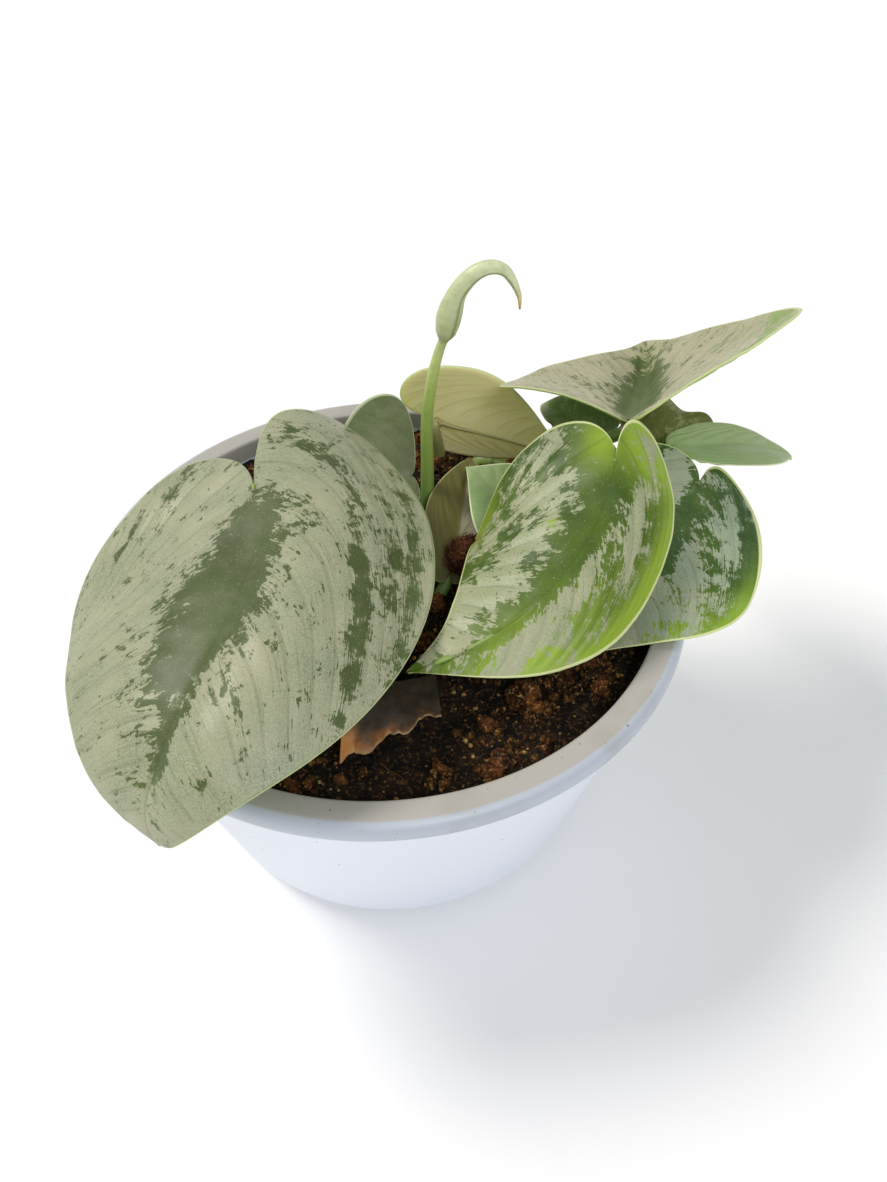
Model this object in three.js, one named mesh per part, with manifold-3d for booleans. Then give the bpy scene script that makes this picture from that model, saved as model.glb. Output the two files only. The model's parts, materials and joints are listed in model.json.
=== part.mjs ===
// Potted satin pothos: a low round plastic pot of potting mix with a few
// silver-splashed leaves, a new leaf still rolled, and one dead leaf.
//
// Millimetres, +Z up. The origin is the centre of the pot's underside.
// A leaf's blade and its stalk grew as one piece, so each leaf is one solid.
// Its stalk stands in a plain hole in the potting mix, and nothing is joined.

import * as THREE from 'three'
import * as BufferGeometryUtils from 'three/addons/utils/BufferGeometryUtils.js'
import Module from 'manifold-3d'

const wasm = await Module()
wasm.setup()

const DEG = Math.PI / 180
const GAP = 0.35 // clear space between two pieces that touch

// Driving sizes of the pot
const POT = {
  height: 103, // rim above the table
  lipRadius: 100, // widest point of the rolled lip
  rimRadius: 96.7, // outer edge of the flat band on the rim
  mouthRadius: 90.5, // inner edge of that band
  lipDrop: 7, // height of the rolled lip
  bodyTopRadius: 95.6, // body just under the lip
  baseRadius: 74.5, // body where it turns into the base
  baseRound: 13, // rounding between wall and base
  wall: 2.4,
  footRadius: 58, // ring that the pot rests on
  footWidth: 5,
  hubRadius: 20, // flat disc in the middle that it rests on too
  recess: 1.6, // how far the base stands back between hub and ring
  drainRadius: 2.4,
  drainCircle: 37,
  drains: 6,
  sides: 60,
}

const BASE_EDGE = 0.6 // height of the base's rounding above the table
const BASE_TURN = -12 * DEG // where that rounding meets the wall
// Heights of the inner wall from the turn down to the floor
const INNER_HEIGHTS = [11.4, 6.1, 3.8, 3.02]

// Driving sizes of the potting mix
const SOIL = {
  level: 95, // mean surface
  bump: 1.3,
  rings: 7,
  spokes: 36,
  clods: 30,
  clodLow: 2.2,
  clodHigh: 5.2,
}

// Driving sizes that all leaves share
const LEAF = {
  thick: 0.8, // blade at its edge
  rib: 1.7, // extra depth of the midrib under the blade
  stalkTop: 1.9, // stalk radius at the blade
  stalkFoot: 3.0, // stalk radius at the mix
  stalkDepth: 22, // stalk below the surface
  fan: 0.42, // share of the veins that fan out from the notch
  acrossSteps: [0, 0.08, 0.36, 0.68, 1],
  alongSteps: { long: 16, short: 12 }, // rows for blades over and under 60 mm
}

// Colours
const COLOURS = {
  potWhite: [0xe4e6ee, 0.42],
  mix: [0x2a211c, 0.95],
  silverLeaf: [0x9fac94, 0.5],
  splashedLeaf: [0x6f9150, 0.45],
  brightLeaf: [0x86a83c, 0.45],
  underside: [0xa9a873, 0.5],
  paleLeaf: [0x9cbf8f, 0.5],
  oldLeaf: [0x7d7f5a, 0.6],
  deadLeaf: [0x4a3626, 0.8],
  vine: [0x7c9a4a, 0.55],
}

// Leaves: where the stalk meets the blade, which way the midrib heads from
// there (degrees from +X), and how the blade bends. "l" and "r" are its left
// and right halves, seen from above by someone facing the tip.
//   drop: fall of the midrib at the notch; roll: raises the left half
//   lobe, widest: as shares of the length; tipFill: 1 is a blunt tip
//   bend, hook, sweep, twist: turns along the midrib, in degrees
//   fold, cup, rim: turns across each half, in degrees, upwards positive
//   foot: where the stalk leaves the mix; approach: how far it swings back
//   before it meets the blade, and lift: how far it first stands straight up,
//   both as shares of its rise
const LEAVES = {
  leaf_front_left: {
    base: [-38.6, 4, 137], heading: -85, drop: -1, roll: 33, length: 124, width: { l: 59, r: 71 },
    lobe: { l: 0.34, r: 0.34 }, widest: 0.19, tipFill: 0.9, bend: -26, hook: 102, sweep: -63, twist: 4,
    fold: { l: -7, r: 15 }, cup: { l: -106, r: -13 }, rim: { l: 64, r: -17 },
    wave: 0, waves: 0, foot: [-20, 42], approach: 0.28, colour: 'silverLeaf',
  },
  leaf_centre: {
    base: [72.5, -4.5, 145], heading: -107, drop: 17, roll: -4, length: 97, width: { l: 28, r: 46.5 },
    lobe: { l: 0.26, r: 0.26 }, widest: 0.33, tipFill: 0.46, bend: 13, hook: 3, sweep: -69, twist: 13,
    fold: { l: -25, r: -12 }, cup: { l: -16, r: -36 }, rim: { l: -8, r: -16 },
    wave: 0, waves: 0, foot: [68, 30], approach: 0.34, lift: 0.9, colour: 'splashedLeaf',
  },
  leaf_right: {
    base: [106.6, 10.4, 121.5], heading: -116, drop: 11.5, roll: -26, length: 76.5, width: { l: 30, r: 40 },
    lobe: { l: 0.23, r: 0.17 }, widest: 0.42, tipFill: 0.34, bend: 15, hook: -9, sweep: -25, twist: 37,
    fold: { l: -9, r: 2 }, cup: { l: 15, r: -25 }, rim: { l: 5, r: -5 },
    wave: 0, waves: 0, foot: [72, 2], approach: 0.2, lift: 0.75, colour: 'splashedLeaf',
  },
  leaf_top_right: {
    base: [83.2, 21.5, 142], heading: 68, drop: 29.5, roll: -8, length: 105.7, width: { l: 47.2, r: 61.8 },
    lobe: { l: 0.14, r: 0.14 }, widest: 0.1, tipFill: 0.54, bend: -30, hook: -3, sweep: 2, twist: -5,
    fold: { l: 29, r: 34 }, cup: { l: -29, r: -5 }, rim: { l: -12, r: 8 },
    wave: 0, waves: 0, foot: [62, 38], approach: -0.2, lift: 0.9, colour: 'silverLeaf',
  },
  leaf_back: {
    base: [20.2, 64, 118.2], heading: -7, drop: 14, roll: -89, length: 55, width: { l: 14, r: 26.5 },
    lobe: { l: 0.04, r: 0.28 }, widest: 0.2, tipFill: 0.5, bend: 10, hook: 0, sweep: 1, twist: 1,
    fold: { l: -1, r: -6 }, cup: { l: 0, r: 0 }, rim: { l: 0, r: 0 },
    wave: 0, waves: 0, foot: [26, 67], approach: 0.05, colour: 'underside',
  },
  leaf_back_left: {
    base: [12, 49.5, 102.5], heading: 199, drop: -6, roll: -44, length: 34, width: { l: 16, r: 34 },
    lobe: { l: 0.05, r: 0.1 }, widest: 0.27, tipFill: 0.5, bend: 20, hook: 0, sweep: 0, twist: 0,
    fold: { l: 22, r: 18 }, cup: { l: 19, r: 33 }, rim: { l: 3, r: 3 },
    wave: 0, waves: 0, foot: [12, 46], approach: 0.1, colour: 'splashedLeaf',
  },
  leaf_low_centre: {
    base: [21.5, -3, 102], heading: 75, drop: -18, roll: 0, length: 47, width: { l: 12, r: 10 },
    lobe: { l: 0.12, r: 0.12 }, widest: 0.5, tipFill: 0.8, bend: 0, hook: 0, sweep: 0, twist: 0,
    fold: { l: 8, r: 8 }, cup: { l: 0, r: 0 }, rim: { l: 0, r: 0 },
    wave: 0, waves: 0, foot: [9, -14], approach: 0.2, colour: 'oldLeaf',
  },
  leaf_small_centre: {
    base: [59, 11, 105], heading: 140, drop: -23, roll: 0, length: 38, width: { l: 21, r: 17 },
    lobe: { l: 0.15, r: 0.15 }, widest: 0.4, tipFill: 0.6, bend: 4, hook: 0, sweep: 6, twist: 0,
    fold: { l: 0, r: 6 }, cup: { l: -16, r: 0 }, rim: { l: 0, r: 0 },
    wave: 0, waves: 0, foot: [64, 4], approach: 0.2, colour: 'splashedLeaf',
  },
  leaf_pale_right: {
    base: [103, 32, 122], heading: 14, drop: 1, roll: 0, length: 63, width: { l: 11, r: 18 },
    lobe: { l: 0.02, r: 0.02 }, widest: 0.36, tipFill: 0.5, bend: 34, hook: 20, sweep: 3, twist: 10,
    fold: { l: 3, r: 10 }, cup: { l: -12, r: -6 }, rim: { l: 0, r: 0 },
    wave: 0, waves: 0, foot: [78, 13], approach: 0.28, lift: 0.8, colour: 'paleLeaf',
  },
  leaf_old_right: {
    base: [95.5, 42, 114.4], heading: 11, drop: -14, roll: -3, length: 38, width: { l: 20, r: 10 },
    lobe: { l: 0.16, r: 0.1 }, widest: 0.28, tipFill: 0.5, bend: 39, hook: 0, sweep: 0, twist: 0,
    fold: { l: 12, r: 0 }, cup: { l: 6, r: 0 }, rim: { l: 0, r: 0 },
    wave: 2, waves: 4, foot: [58, 46], approach: 0.26, lift: 0.88, colour: 'oldLeaf',
  },
  leaf_back_right: {
    base: [79, 44.5, 118], heading: 125, drop: -18, roll: 0, length: 28, width: { l: 12, r: 17 },
    lobe: { l: 0.15, r: 0.1 }, widest: 0.3, tipFill: 0.8, bend: 27, hook: 14, sweep: 2, twist: 0,
    fold: { l: 9, r: 12 }, cup: { l: 4, r: 0 }, rim: { l: 0, r: 0 },
    wave: 0, waves: 0, foot: [76, 23], approach: 0.2, lift: 0.8, colour: 'paleLeaf',
  },
}

// The new leaf: a stalk, then a blade still rolled in a spiral, which arches
// over to a fine tip. Points along its middle, chosen by hand.
const NEW_LEAF = {
  route: [[14, 27, 74], [15.5, 29, 90], [16.5, 30, 105], [17, 30, 122], [17.3, 30, 141], [19.3, 30, 156],
    [21.3, 30, 165], [24, 30, 173], [25.6, 30, 180], [28, 30, 186.5], [32.4, 30, 191.5], [37.2, 30, 193.4],
    [41.4, 30, 192.2], [44.3, 30, 188.2], [46.2, 30, 183.6], [46.6, 30, 179.4]],
  // [share of the length, radius]
  radii: [[0, 2.6], [0.3, 2.3], [0.58, 1.7], [0.645, 1.4], [0.69, 3.6], [0.75, 3.7], [0.82, 2.9], [0.9, 2.1],
    [0.96, 1.2], [1, 0.35]],
  rollFrom: 0.645,
  rollStep: 0.16, // how far the outer edge of the roll stands out
  steps: 38,
  sides: 12,
}

// Two short lengths of creeping vine, both ends in the mix
const VINES = {
  vine_left: { from: [-36, 52], to: [2, 68], rise: 13, radius: 3.4 },
  vine_right: { from: [34, 66], to: [54, 60], rise: 6, radius: 3.2 },
}

// The dead leaf, curled on the mix: corners of the sheet, [x, y, z]
const DEAD_LEAF = {
  leftHigh: [-14, -52, 103],
  leftLow: [-17, -74.5, 98.6],
  rightHigh: [13, -46, 100.5],
  rightLow: [13.5, -59, 98.4],
  crown: 4.2, // height of the curl across the sheet
  tear: 1.5, // waviness of the torn edge
  thick: 0.8,
  along: 14,
  across: 5,
}

// A lump of coir that stands out of the mix between the leaves
const COIR = { at: [35, 2], radius: 8 }

// One closed surface from a list of points and triangles
function surface(points, triangles) {
  const geometry = new THREE.BufferGeometry()
  geometry.setAttribute('position', new THREE.Float32BufferAttribute(points.flat(), 3))
  geometry.setIndex(triangles.flat())
  return geometry
}

function toSolid(geometry) {
  const bare = geometry.clone()
  bare.deleteAttribute('normal')
  bare.deleteAttribute('uv')
  const merged = BufferGeometryUtils.mergeVertices(bare, 1e-4)
  const vertProperties = new Float32Array(merged.attributes.position.array)
  const triVerts = new Uint32Array(merged.index.array)
  return new wasm.Manifold(new wasm.Mesh({ numProp: 3, vertProperties, triVerts }))
}

function toGeometry(solid) {
  const mesh = solid.getMesh()
  const geometry = new THREE.BufferGeometry()
  geometry.setAttribute('position', new THREE.BufferAttribute(new Float32Array(mesh.vertProperties), 3))
  geometry.setIndex(new THREE.BufferAttribute(new Uint32Array(mesh.triVerts), 1))
  return geometry
}

// Closed tube along a curve. radiusAt takes the share of the length, and
// outlineAt, if given, the share and the angle. extend moves both ends out.
function tube(curve, steps, sides, radiusAt, extend = 0, outlineAt = () => 1) {
  const frames = curve.computeFrenetFrames(steps, false)
  const points = []
  const triangles = []
  for (let i = 0; i <= steps; i++) {
    const share = i / steps
    const centre = curve.getPointAt(share)
    if (i === 0) centre.addScaledVector(frames.tangents[i], -extend)
    if (i === steps) centre.addScaledVector(frames.tangents[i], extend)
    for (let j = 0; j < sides; j++) {
      const angle = 2 * Math.PI * j / sides
      const radius = radiusAt(share) * outlineAt(share, angle)
      const p = centre.clone()
        .addScaledVector(frames.normals[i], radius * Math.cos(angle))
        .addScaledVector(frames.binormals[i], radius * Math.sin(angle))
      points.push([p.x, p.y, p.z])
    }
  }
  for (let i = 0; i < steps; i++) {
    for (let j = 0; j < sides; j++) {
      const k = (j + 1) % sides
      const a = i * sides + j
      const b = i * sides + k
      const c = a + sides
      const d = b + sides
      triangles.push([a, b, d], [a, d, c])
    }
  }
  const last = steps * sides
  for (let j = 1; j < sides - 1; j++) {
    triangles.push([0, j + 1, j], [last, last + j, last + j + 1])
  }
  return toSolid(surface(points, triangles))
}

function bezier(p0, p1, p2, p3, t) {
  const u = 1 - t
  return u * u * u * p0 + 3 * u * u * t * p1 + 3 * u * t * t * p2 + t * t * t * p3
}

// Flat outline of one half of a blade: x along the midrib from the notch,
// y away from it. share runs from the notch, round the lobe, to the tip.
function outlinePoint(leaf, side, share) {
  const w = leaf.width[side]
  const L = leaf.length
  const lobe = leaf.lobe[side] * L
  const wide = leaf.widest * L
  if (share <= 0.5) {
    const t = share / 0.5
    return [bezier(0, -1.25 * lobe - 0.02 * L, -1.05 * lobe, wide, t), bezier(0, 0.02 * w, w, w, t)]
  }
  const t = (share - 0.5) / 0.5
  const rest = L - wide
  return [
    bezier(wide, wide + 0.45 * rest, L - (0.55 - 0.5 * leaf.tipFill) * rest, L, t),
    bezier(w, w, 0.5 * w * leaf.tipFill, 0, t),
  ]
}

// Frames along the midrib, forwards to the tip and back through the lobes.
// Each holds the point, the way ahead, the way left and the way up.
function midribFrames(leaf) {
  const steps = 24
  const heading = leaf.heading * DEG
  const drop = leaf.drop * DEG
  const ahead0 = new THREE.Vector3(
    Math.cos(heading) * Math.cos(drop), Math.sin(heading) * Math.cos(drop), -Math.sin(drop))
  const left0 = new THREE.Vector3(-Math.sin(heading), Math.cos(heading), 0)
  const up0 = ahead0.clone().cross(left0)
  const start = {
    x: 0,
    point: new THREE.Vector3(...leaf.base),
    ahead: ahead0,
    left: left0.clone().applyAxisAngle(ahead0, leaf.roll * DEG),
    up: up0.clone().applyAxisAngle(ahead0, leaf.roll * DEG),
  }
  const walk = (sign, reach) => {
    const frames = []
    const ds = reach / steps
    let { point, ahead, left, up } = start
    for (let i = 0; i < steps; i++) {
      const share = (i + 0.5) * ds * sign / leaf.length
      const turn = ds * sign / leaf.length * DEG
      const pitch = (leaf.bend + leaf.hook * 4 * Math.max(share, 0) ** 3) * turn
      const before = ahead
      ahead = ahead.clone().applyAxisAngle(left, pitch)
      up = up.clone().applyAxisAngle(left, pitch)
      ahead = ahead.applyAxisAngle(up, leaf.sweep * turn)
      left = left.clone().applyAxisAngle(up, leaf.sweep * turn)
      left = left.applyAxisAngle(ahead, leaf.twist * turn)
      up = up.applyAxisAngle(ahead, leaf.twist * turn)
      point = point.clone().addScaledVector(before.clone().add(ahead), 0.5 * ds * sign)
      frames.push({ x: (i + 1) * ds * sign, point, ahead, left, up })
    }
    return frames
  }
  return [...walk(-1, 0.55 * leaf.length).reverse(), start, ...walk(1, 1.001 * leaf.length)]
}

function frameAt(frames, x) {
  let i = 0
  while (i < frames.length - 2 && frames[i + 1].x < x) i++
  const a = frames[i]
  const b = frames[i + 1]
  const t = Math.min(Math.max((x - a.x) / (b.x - a.x), 0), 1)
  return {
    point: a.point.clone().lerp(b.point, t),
    left: a.left.clone().lerp(b.left, t).normalize(),
    up: a.up.clone().lerp(b.up, t).normalize(),
  }
}

// Where a blade's surface is, and which way its upper side faces.
// vein is the share of the margin that a side vein runs to, and across is
// the share of the way along that vein.
function bladePoint(leaf, frames, side, vein, across) {
  const [edgeX, edgeY] = outlinePoint(leaf, side, vein)
  const rootX = leaf.length * Math.max(0, (vein - LEAF.fan) / (1 - LEAF.fan))
  const bendX = rootX + 0.2 * (edgeX - rootX)
  const bendY = 0.68 * edgeY
  const u = 1 - across
  const x = u * u * rootX + 2 * u * across * bendX + across * across * edgeX
  const y = 2 * u * across * bendY + across * across * edgeY
  const frame = frameAt(frames, x)
  const steps = 10
  let out = 0
  let lift = 0
  const slopeAt = (distance) => {
    const q = distance / leaf.width[side]
    return (leaf.fold[side] + leaf.cup[side] * q + leaf.rim[side] * Math.min(q, 1.3) ** 4) * DEG
  }
  for (let i = 0; i < steps; i++) {
    const slope = slopeAt(y * (i + 0.5) / steps)
    out += Math.cos(slope) * y / steps
    lift += Math.sin(slope) * y / steps
  }
  const phase = side === 'r' ? 0.37 : 0
  lift += leaf.wave * Math.sin(2 * Math.PI * (leaf.waves * vein + phase)) * across * across
  const hand = side === 'l' ? 1 : -1
  const point = frame.point.clone().addScaledVector(frame.left, hand * out).addScaledVector(frame.up, lift)
  const lean = slopeAt(y) * Math.min(1, y / 6)
  const up = frame.up.clone().multiplyScalar(Math.cos(lean)).addScaledVector(frame.left, -hand * Math.sin(lean))
  return { point, up, x }
}

// The blade as one closed solid, with the midrib raised on its underside
function bladeSolid(leaf, frames) {
  const rows = leaf.length > 60 ? LEAF.alongSteps.long : LEAF.alongSteps.short
  const columns = LEAF.acrossSteps.length - 1
  const points = []
  const known = new Map()
  const index = (side, i, j, face) => {
    let key = `${side}${i},${j}`
    const share = i / rows
    if (i === 0 || (j === 0 && share <= LEAF.fan)) key = 'notch'
    else if (i === rows) key = 'tip'
    else if (j === 0) key = `rib${i}`
    key += face
    if (!known.has(key)) {
      const across = key.startsWith('notch') ? 0 : LEAF.acrossSteps[j]
      const { point, up, x } = bladePoint(leaf, frames, side, key.startsWith('notch') ? 0 : share, across)
      if (face === 'under') {
        const onRib = key.startsWith('rib') || key.startsWith('notch')
        const deep = onRib ? LEAF.rib * (1 - 0.75 * Math.max(x, 0) / leaf.length) : 0
        point.addScaledVector(up, -LEAF.thick - deep)
      }
      known.set(key, points.length)
      points.push([point.x, point.y, point.z])
    }
    return known.get(key)
  }
  const triangles = []
  const add = (a, b, c) => {
    if (a !== b && b !== c && a !== c) triangles.push([a, b, c])
  }
  for (const side of ['l', 'r']) {
    const flip = side === 'l'
    for (let i = 0; i < rows; i++) {
      for (let j = 0; j < columns; j++) {
        for (const face of ['over', 'under']) {
          const a = index(side, i, j, face)
          const b = index(side, i + 1, j, face)
          const c = index(side, i + 1, j + 1, face)
          const d = index(side, i, j + 1, face)
          if (flip === (face === 'over')) {
            add(a, b, c)
            add(a, c, d)
          } else {
            add(a, c, b)
            add(a, d, c)
          }
        }
      }
      const a = index(side, i, columns, 'over')
      const b = index(side, i + 1, columns, 'over')
      const c = index(side, i + 1, columns, 'under')
      const d = index(side, i, columns, 'under')
      if (flip) {
        add(a, b, c)
        add(a, c, d)
      } else {
        add(a, c, b)
        add(a, d, c)
      }
    }
  }
  return toSolid(surface(points, triangles))
}

// The middle line of a leaf stalk, from inside the mix to under the blade
function stalkCurve(leaf, frames) {
  const start = frames.find((frame) => frame.x === 0)
  const foot = new THREE.Vector3(leaf.foot[0], leaf.foot[1], SOIL.level - LEAF.stalkDepth)
  const head = start.point.clone()
    .addScaledVector(start.ahead, 3)
    .addScaledVector(start.up, -LEAF.thick - 0.6 * LEAF.stalkTop)
  const rise = head.z - foot.z
  return new THREE.CubicBezierCurve3(
    foot,
    foot.clone().add(new THREE.Vector3(0, 0, (leaf.lift ?? 0.62) * rise)),
    head.clone().addScaledVector(start.ahead, -leaf.approach * rise).addScaledVector(start.up, -0.12 * rise),
    head,
  )
}

const stalkRadius = (share) => LEAF.stalkFoot + (LEAF.stalkTop - LEAF.stalkFoot) * share

// A repeatable random number between 0 and 1
function makeRandom(seed) {
  let state = seed
  return () => {
    state = (state * 1664525 + 1013904223) % 4294967296
    return state / 4294967296
  }
}

function node(name, geometry, colour) {
  const [tint, roughness] = COLOURS[colour]
  const material = new THREE.MeshStandardMaterial({ color: tint, roughness, metalness: 0 })
  const mesh = new THREE.Mesh(geometry, material)
  mesh.name = name
  return mesh
}

// Radius of the pot's inner wall at a height: round the base, up, then the rim
function innerRadius(z) {
  const { height, baseRadius, baseRound, wall, mouthRadius } = POT
  const centreRadius = baseRadius - baseRound
  const centreHeight = BASE_EDGE + baseRound
  const round = baseRound - wall
  const turnHeight = centreHeight + round * Math.sin(BASE_TURN)
  const underRim = height - 14
  if (z < turnHeight) return centreRadius + Math.sqrt(Math.max(0, round ** 2 - (centreHeight - z) ** 2))
  const turnRadius = centreRadius + round * Math.cos(BASE_TURN)
  const t = (z - turnHeight) / (underRim - turnHeight)
  return Math.min(turnRadius + (mouthRadius - 0.3 - turnRadius) * t, mouthRadius - 0.3)
}

function latheSolid(profile, sides) {
  const points = profile.map(([r, z]) => new THREE.Vector2(r, z))
  const geometry = new THREE.LatheGeometry(points, sides)
  geometry.rotateX(Math.PI / 2)
  return toSolid(geometry)
}

function potSolid() {
  const { height, lipRadius, rimRadius, mouthRadius, lipDrop, bodyTopRadius, baseRadius, baseRound } = POT
  const footIn = POT.footRadius - POT.footWidth
  const profile = [[0, 0], [POT.hubRadius, 0], [POT.hubRadius + 1.4, POT.recess], [footIn - 1, POT.recess],
    [footIn, 0], [POT.footRadius, 0], [POT.footRadius + 0.8, BASE_EDGE]]
  const roundSteps = 4
  for (let i = 0; i <= roundSteps; i++) {
    const angle = -90 * DEG + i / roundSteps * (BASE_TURN + 90 * DEG)
    profile.push([baseRadius - baseRound + baseRound * Math.cos(angle),
      BASE_EDGE + baseRound + baseRound * Math.sin(angle)])
  }
  profile.push([bodyTopRadius, height - lipDrop - 0.6])
  profile.push([lipRadius - 0.8, height - lipDrop])
  profile.push([lipRadius, height - 0.55 * lipDrop])
  profile.push([lipRadius - 0.9, height - 0.2 * lipDrop])
  profile.push([rimRadius, height])
  profile.push([mouthRadius + 0.6, height - 0.2])
  profile.push([mouthRadius, height - 1])
  profile.push([innerRadius(height - 14), height - 14])
  for (const z of INNER_HEIGHTS) profile.push([innerRadius(z), z])
  profile.push([0, INNER_HEIGHTS.at(-1)])
  let solid = latheSolid(profile, POT.sides)
  for (let i = 0; i < POT.drains; i++) {
    const angle = 2 * Math.PI * i / POT.drains
    const drill = new THREE.CylinderGeometry(POT.drainRadius, POT.drainRadius, 6, 10)
    drill.rotateX(Math.PI / 2)
    drill.translate(POT.drainCircle * Math.cos(angle), POT.drainCircle * Math.sin(angle), POT.recess)
    solid = solid.subtract(toSolid(drill))
  }
  return solid
}

// Height of the mix: low bumps, sunk a little under the dead leaf
function soilHeight(x, y) {
  const bumps = Math.sin(x / 8 + 1) * Math.cos(y / 9) + 0.6 * Math.sin(x / 4.6 + y / 6) + 0.5 * Math.cos(y / 4 - x / 11)
  const toLeaf = Math.hypot((x + 1) / 22, (y + 60) / 16)
  const flat = Math.min(1, Math.max(0, (toLeaf - 0.85) / 0.4))
  return SOIL.level + SOIL.bump * bumps * flat - 1.6 * (1 - flat)
}

function soilSolid(holes) {
  const { rings, spokes } = SOIL
  const points = []
  const triangles = []
  const topRadius = innerRadius(SOIL.level) - 1.9 * GAP
  points.push([0, 0, soilHeight(0, 0)])
  for (let i = 1; i <= rings; i++) {
    const radius = topRadius * i / rings
    for (let j = 0; j < spokes; j++) {
      const angle = 2 * Math.PI * (j + 0.5 * (i % 2)) / spokes
      const x = radius * Math.cos(angle)
      const y = radius * Math.sin(angle)
      points.push([x, y, i === rings ? SOIL.level - 0.5 : soilHeight(x, y)])
    }
  }
  const ringStart = (i) => 1 + (i - 1) * spokes
  for (let j = 0; j < spokes; j++) {
    const k = (j + 1) % spokes
    triangles.push([0, ringStart(1) + j, ringStart(1) + k])
    for (let i = 1; i < rings; i++) {
      const a = ringStart(i) + j
      const b = ringStart(i) + k
      const c = ringStart(i + 1) + j
      const d = ringStart(i + 1) + k
      if (i % 2) triangles.push([a, c, d], [a, d, b])
      else triangles.push([a, c, b], [b, c, d])
    }
  }
  const wallHeights = [POT.height - 14 - 0.4, ...INNER_HEIGHTS.map((z) => z + GAP)]
  let previous = ringStart(rings)
  for (const z of wallHeights) {
    const start = points.length
    const radius = innerRadius(z - GAP) - 1.9 * GAP
    for (let j = 0; j < spokes; j++) {
      const angle = 2 * Math.PI * (j + 0.5 * (rings % 2)) / spokes
      points.push([radius * Math.cos(angle), radius * Math.sin(angle), z])
    }
    for (let j = 0; j < spokes; j++) {
      const k = (j + 1) % spokes
      triangles.push([previous + j, start + j, start + k], [previous + j, start + k, previous + k])
    }
    previous = start
  }
  const centre = points.length
  points.push([0, 0, wallHeights.at(-1)])
  for (let j = 0; j < spokes; j++) {
    triangles.push([centre, previous + (j + 1) % spokes, previous + j])
  }
  let solid = toSolid(surface(points, triangles))
  const lumps = []
  const random = makeRandom(20)
  const lump = (x, y, radius, sink) => {
    const geometry = new THREE.IcosahedronGeometry(radius, 0)
    geometry.scale(0.85 + 0.4 * random(), 0.85 + 0.4 * random(), 0.8 + 0.3 * random())
    geometry.rotateZ(6 * random())
    geometry.rotateX(6 * random())
    geometry.translate(x, y, soilHeight(x, y) - sink * radius)
    lumps.push(toSolid(geometry))
  }
  lump(COIR.at[0], COIR.at[1], COIR.radius, 0.1)
  lump(COIR.at[0] - 5, COIR.at[1] - 6, COIR.radius * 0.6, 0.1)
  while (lumps.length < SOIL.clods) {
    const angle = 2 * Math.PI * random()
    const reach = 80 * Math.sqrt(random())
    const x = reach * Math.cos(angle)
    const y = reach * Math.sin(angle)
    const radius = SOIL.clodLow + (SOIL.clodHigh - SOIL.clodLow) * random() ** 2
    const nearLeaf = Math.hypot((x + 1) / (24 + radius), (y + 60) / (18 + radius)) < 1
    if (!nearLeaf) lump(x, y, radius, 0.2)
  }
  solid = wasm.Manifold.union([solid, ...lumps])
  return solid.subtract(wasm.Manifold.union(holes))
}

function deadLeafSolid() {
  const { leftHigh, leftLow, rightHigh, rightLow, crown, tear, thick, along, across } = DEAD_LEAF
  const mix = (a, b, t) => a.map((value, k) => value + (b[k] - value) * t)
  const points = []
  for (const face of [0, 1]) {
    for (let i = 0; i <= along; i++) {
      for (let j = 0; j <= across; j++) {
        const u = i / along
        const v = j / across
        const p = mix(mix(leftHigh, rightHigh, u), mix(leftLow, rightLow, u), v)
        p[1] += tear * Math.sin(17 * u) * v * v
        p[2] += crown * Math.sin(Math.PI * v) * (0.5 + 0.5 * Math.sin(5 * u + 0.6)) - face * thick
        points.push(p)
      }
    }
  }
  const triangles = []
  const size = (along + 1) * (across + 1)
  const id = (i, j, face) => face * size + i * (across + 1) + j
  for (let i = 0; i < along; i++) {
    for (let j = 0; j < across; j++) {
      triangles.push([id(i, j, 0), id(i + 1, j + 1, 0), id(i + 1, j, 0)])
      triangles.push([id(i, j, 0), id(i, j + 1, 0), id(i + 1, j + 1, 0)])
      triangles.push([id(i, j, 1), id(i + 1, j, 1), id(i + 1, j + 1, 1)])
      triangles.push([id(i, j, 1), id(i + 1, j + 1, 1), id(i, j + 1, 1)])
    }
  }
  const wall = (a, b) => {
    const [i, j] = a
    const [k, l] = b
    triangles.push([id(i, j, 0), id(k, l, 0), id(k, l, 1)], [id(i, j, 0), id(k, l, 1), id(i, j, 1)])
  }
  for (let i = 0; i < along; i++) {
    wall([i, 0], [i + 1, 0])
    wall([i + 1, across], [i, across])
  }
  for (let j = 0; j < across; j++) {
    wall([0, j + 1], [0, j])
    wall([along, j], [along, j + 1])
  }
  return toSolid(surface(points, triangles))
}

function newLeafCurve() {
  return new THREE.CatmullRomCurve3(NEW_LEAF.route.map((p) => new THREE.Vector3(...p)))
}

function newLeafRadius(share) {
  const table = NEW_LEAF.radii
  let i = 0
  while (i < table.length - 2 && table[i + 1][0] < share) i++
  const [s0, r0] = table[i]
  const [s1, r1] = table[i + 1]
  return r0 + (r1 - r0) * Math.min(Math.max((share - s0) / (s1 - s0), 0), 1)
}

function newLeafOutline(share, angle) {
  if (share <= NEW_LEAF.rollFrom) return 1
  return 1 - NEW_LEAF.rollStep * (0.5 - angle / (2 * Math.PI))
}

function vineCurve(vine) {
  const deep = SOIL.level - 12
  const [x0, y0] = vine.from
  const [x1, y1] = vine.to
  const top = SOIL.level + vine.rise
  return new THREE.CubicBezierCurve3(
    new THREE.Vector3(x0, y0, deep),
    new THREE.Vector3(x0 + 0.15 * (x1 - x0), y0 + 0.15 * (y1 - y0), top),
    new THREE.Vector3(x1 - 0.15 * (x1 - x0), y1 - 0.15 * (y1 - y0), top),
    new THREE.Vector3(x1, y1, deep),
  )
}

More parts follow.
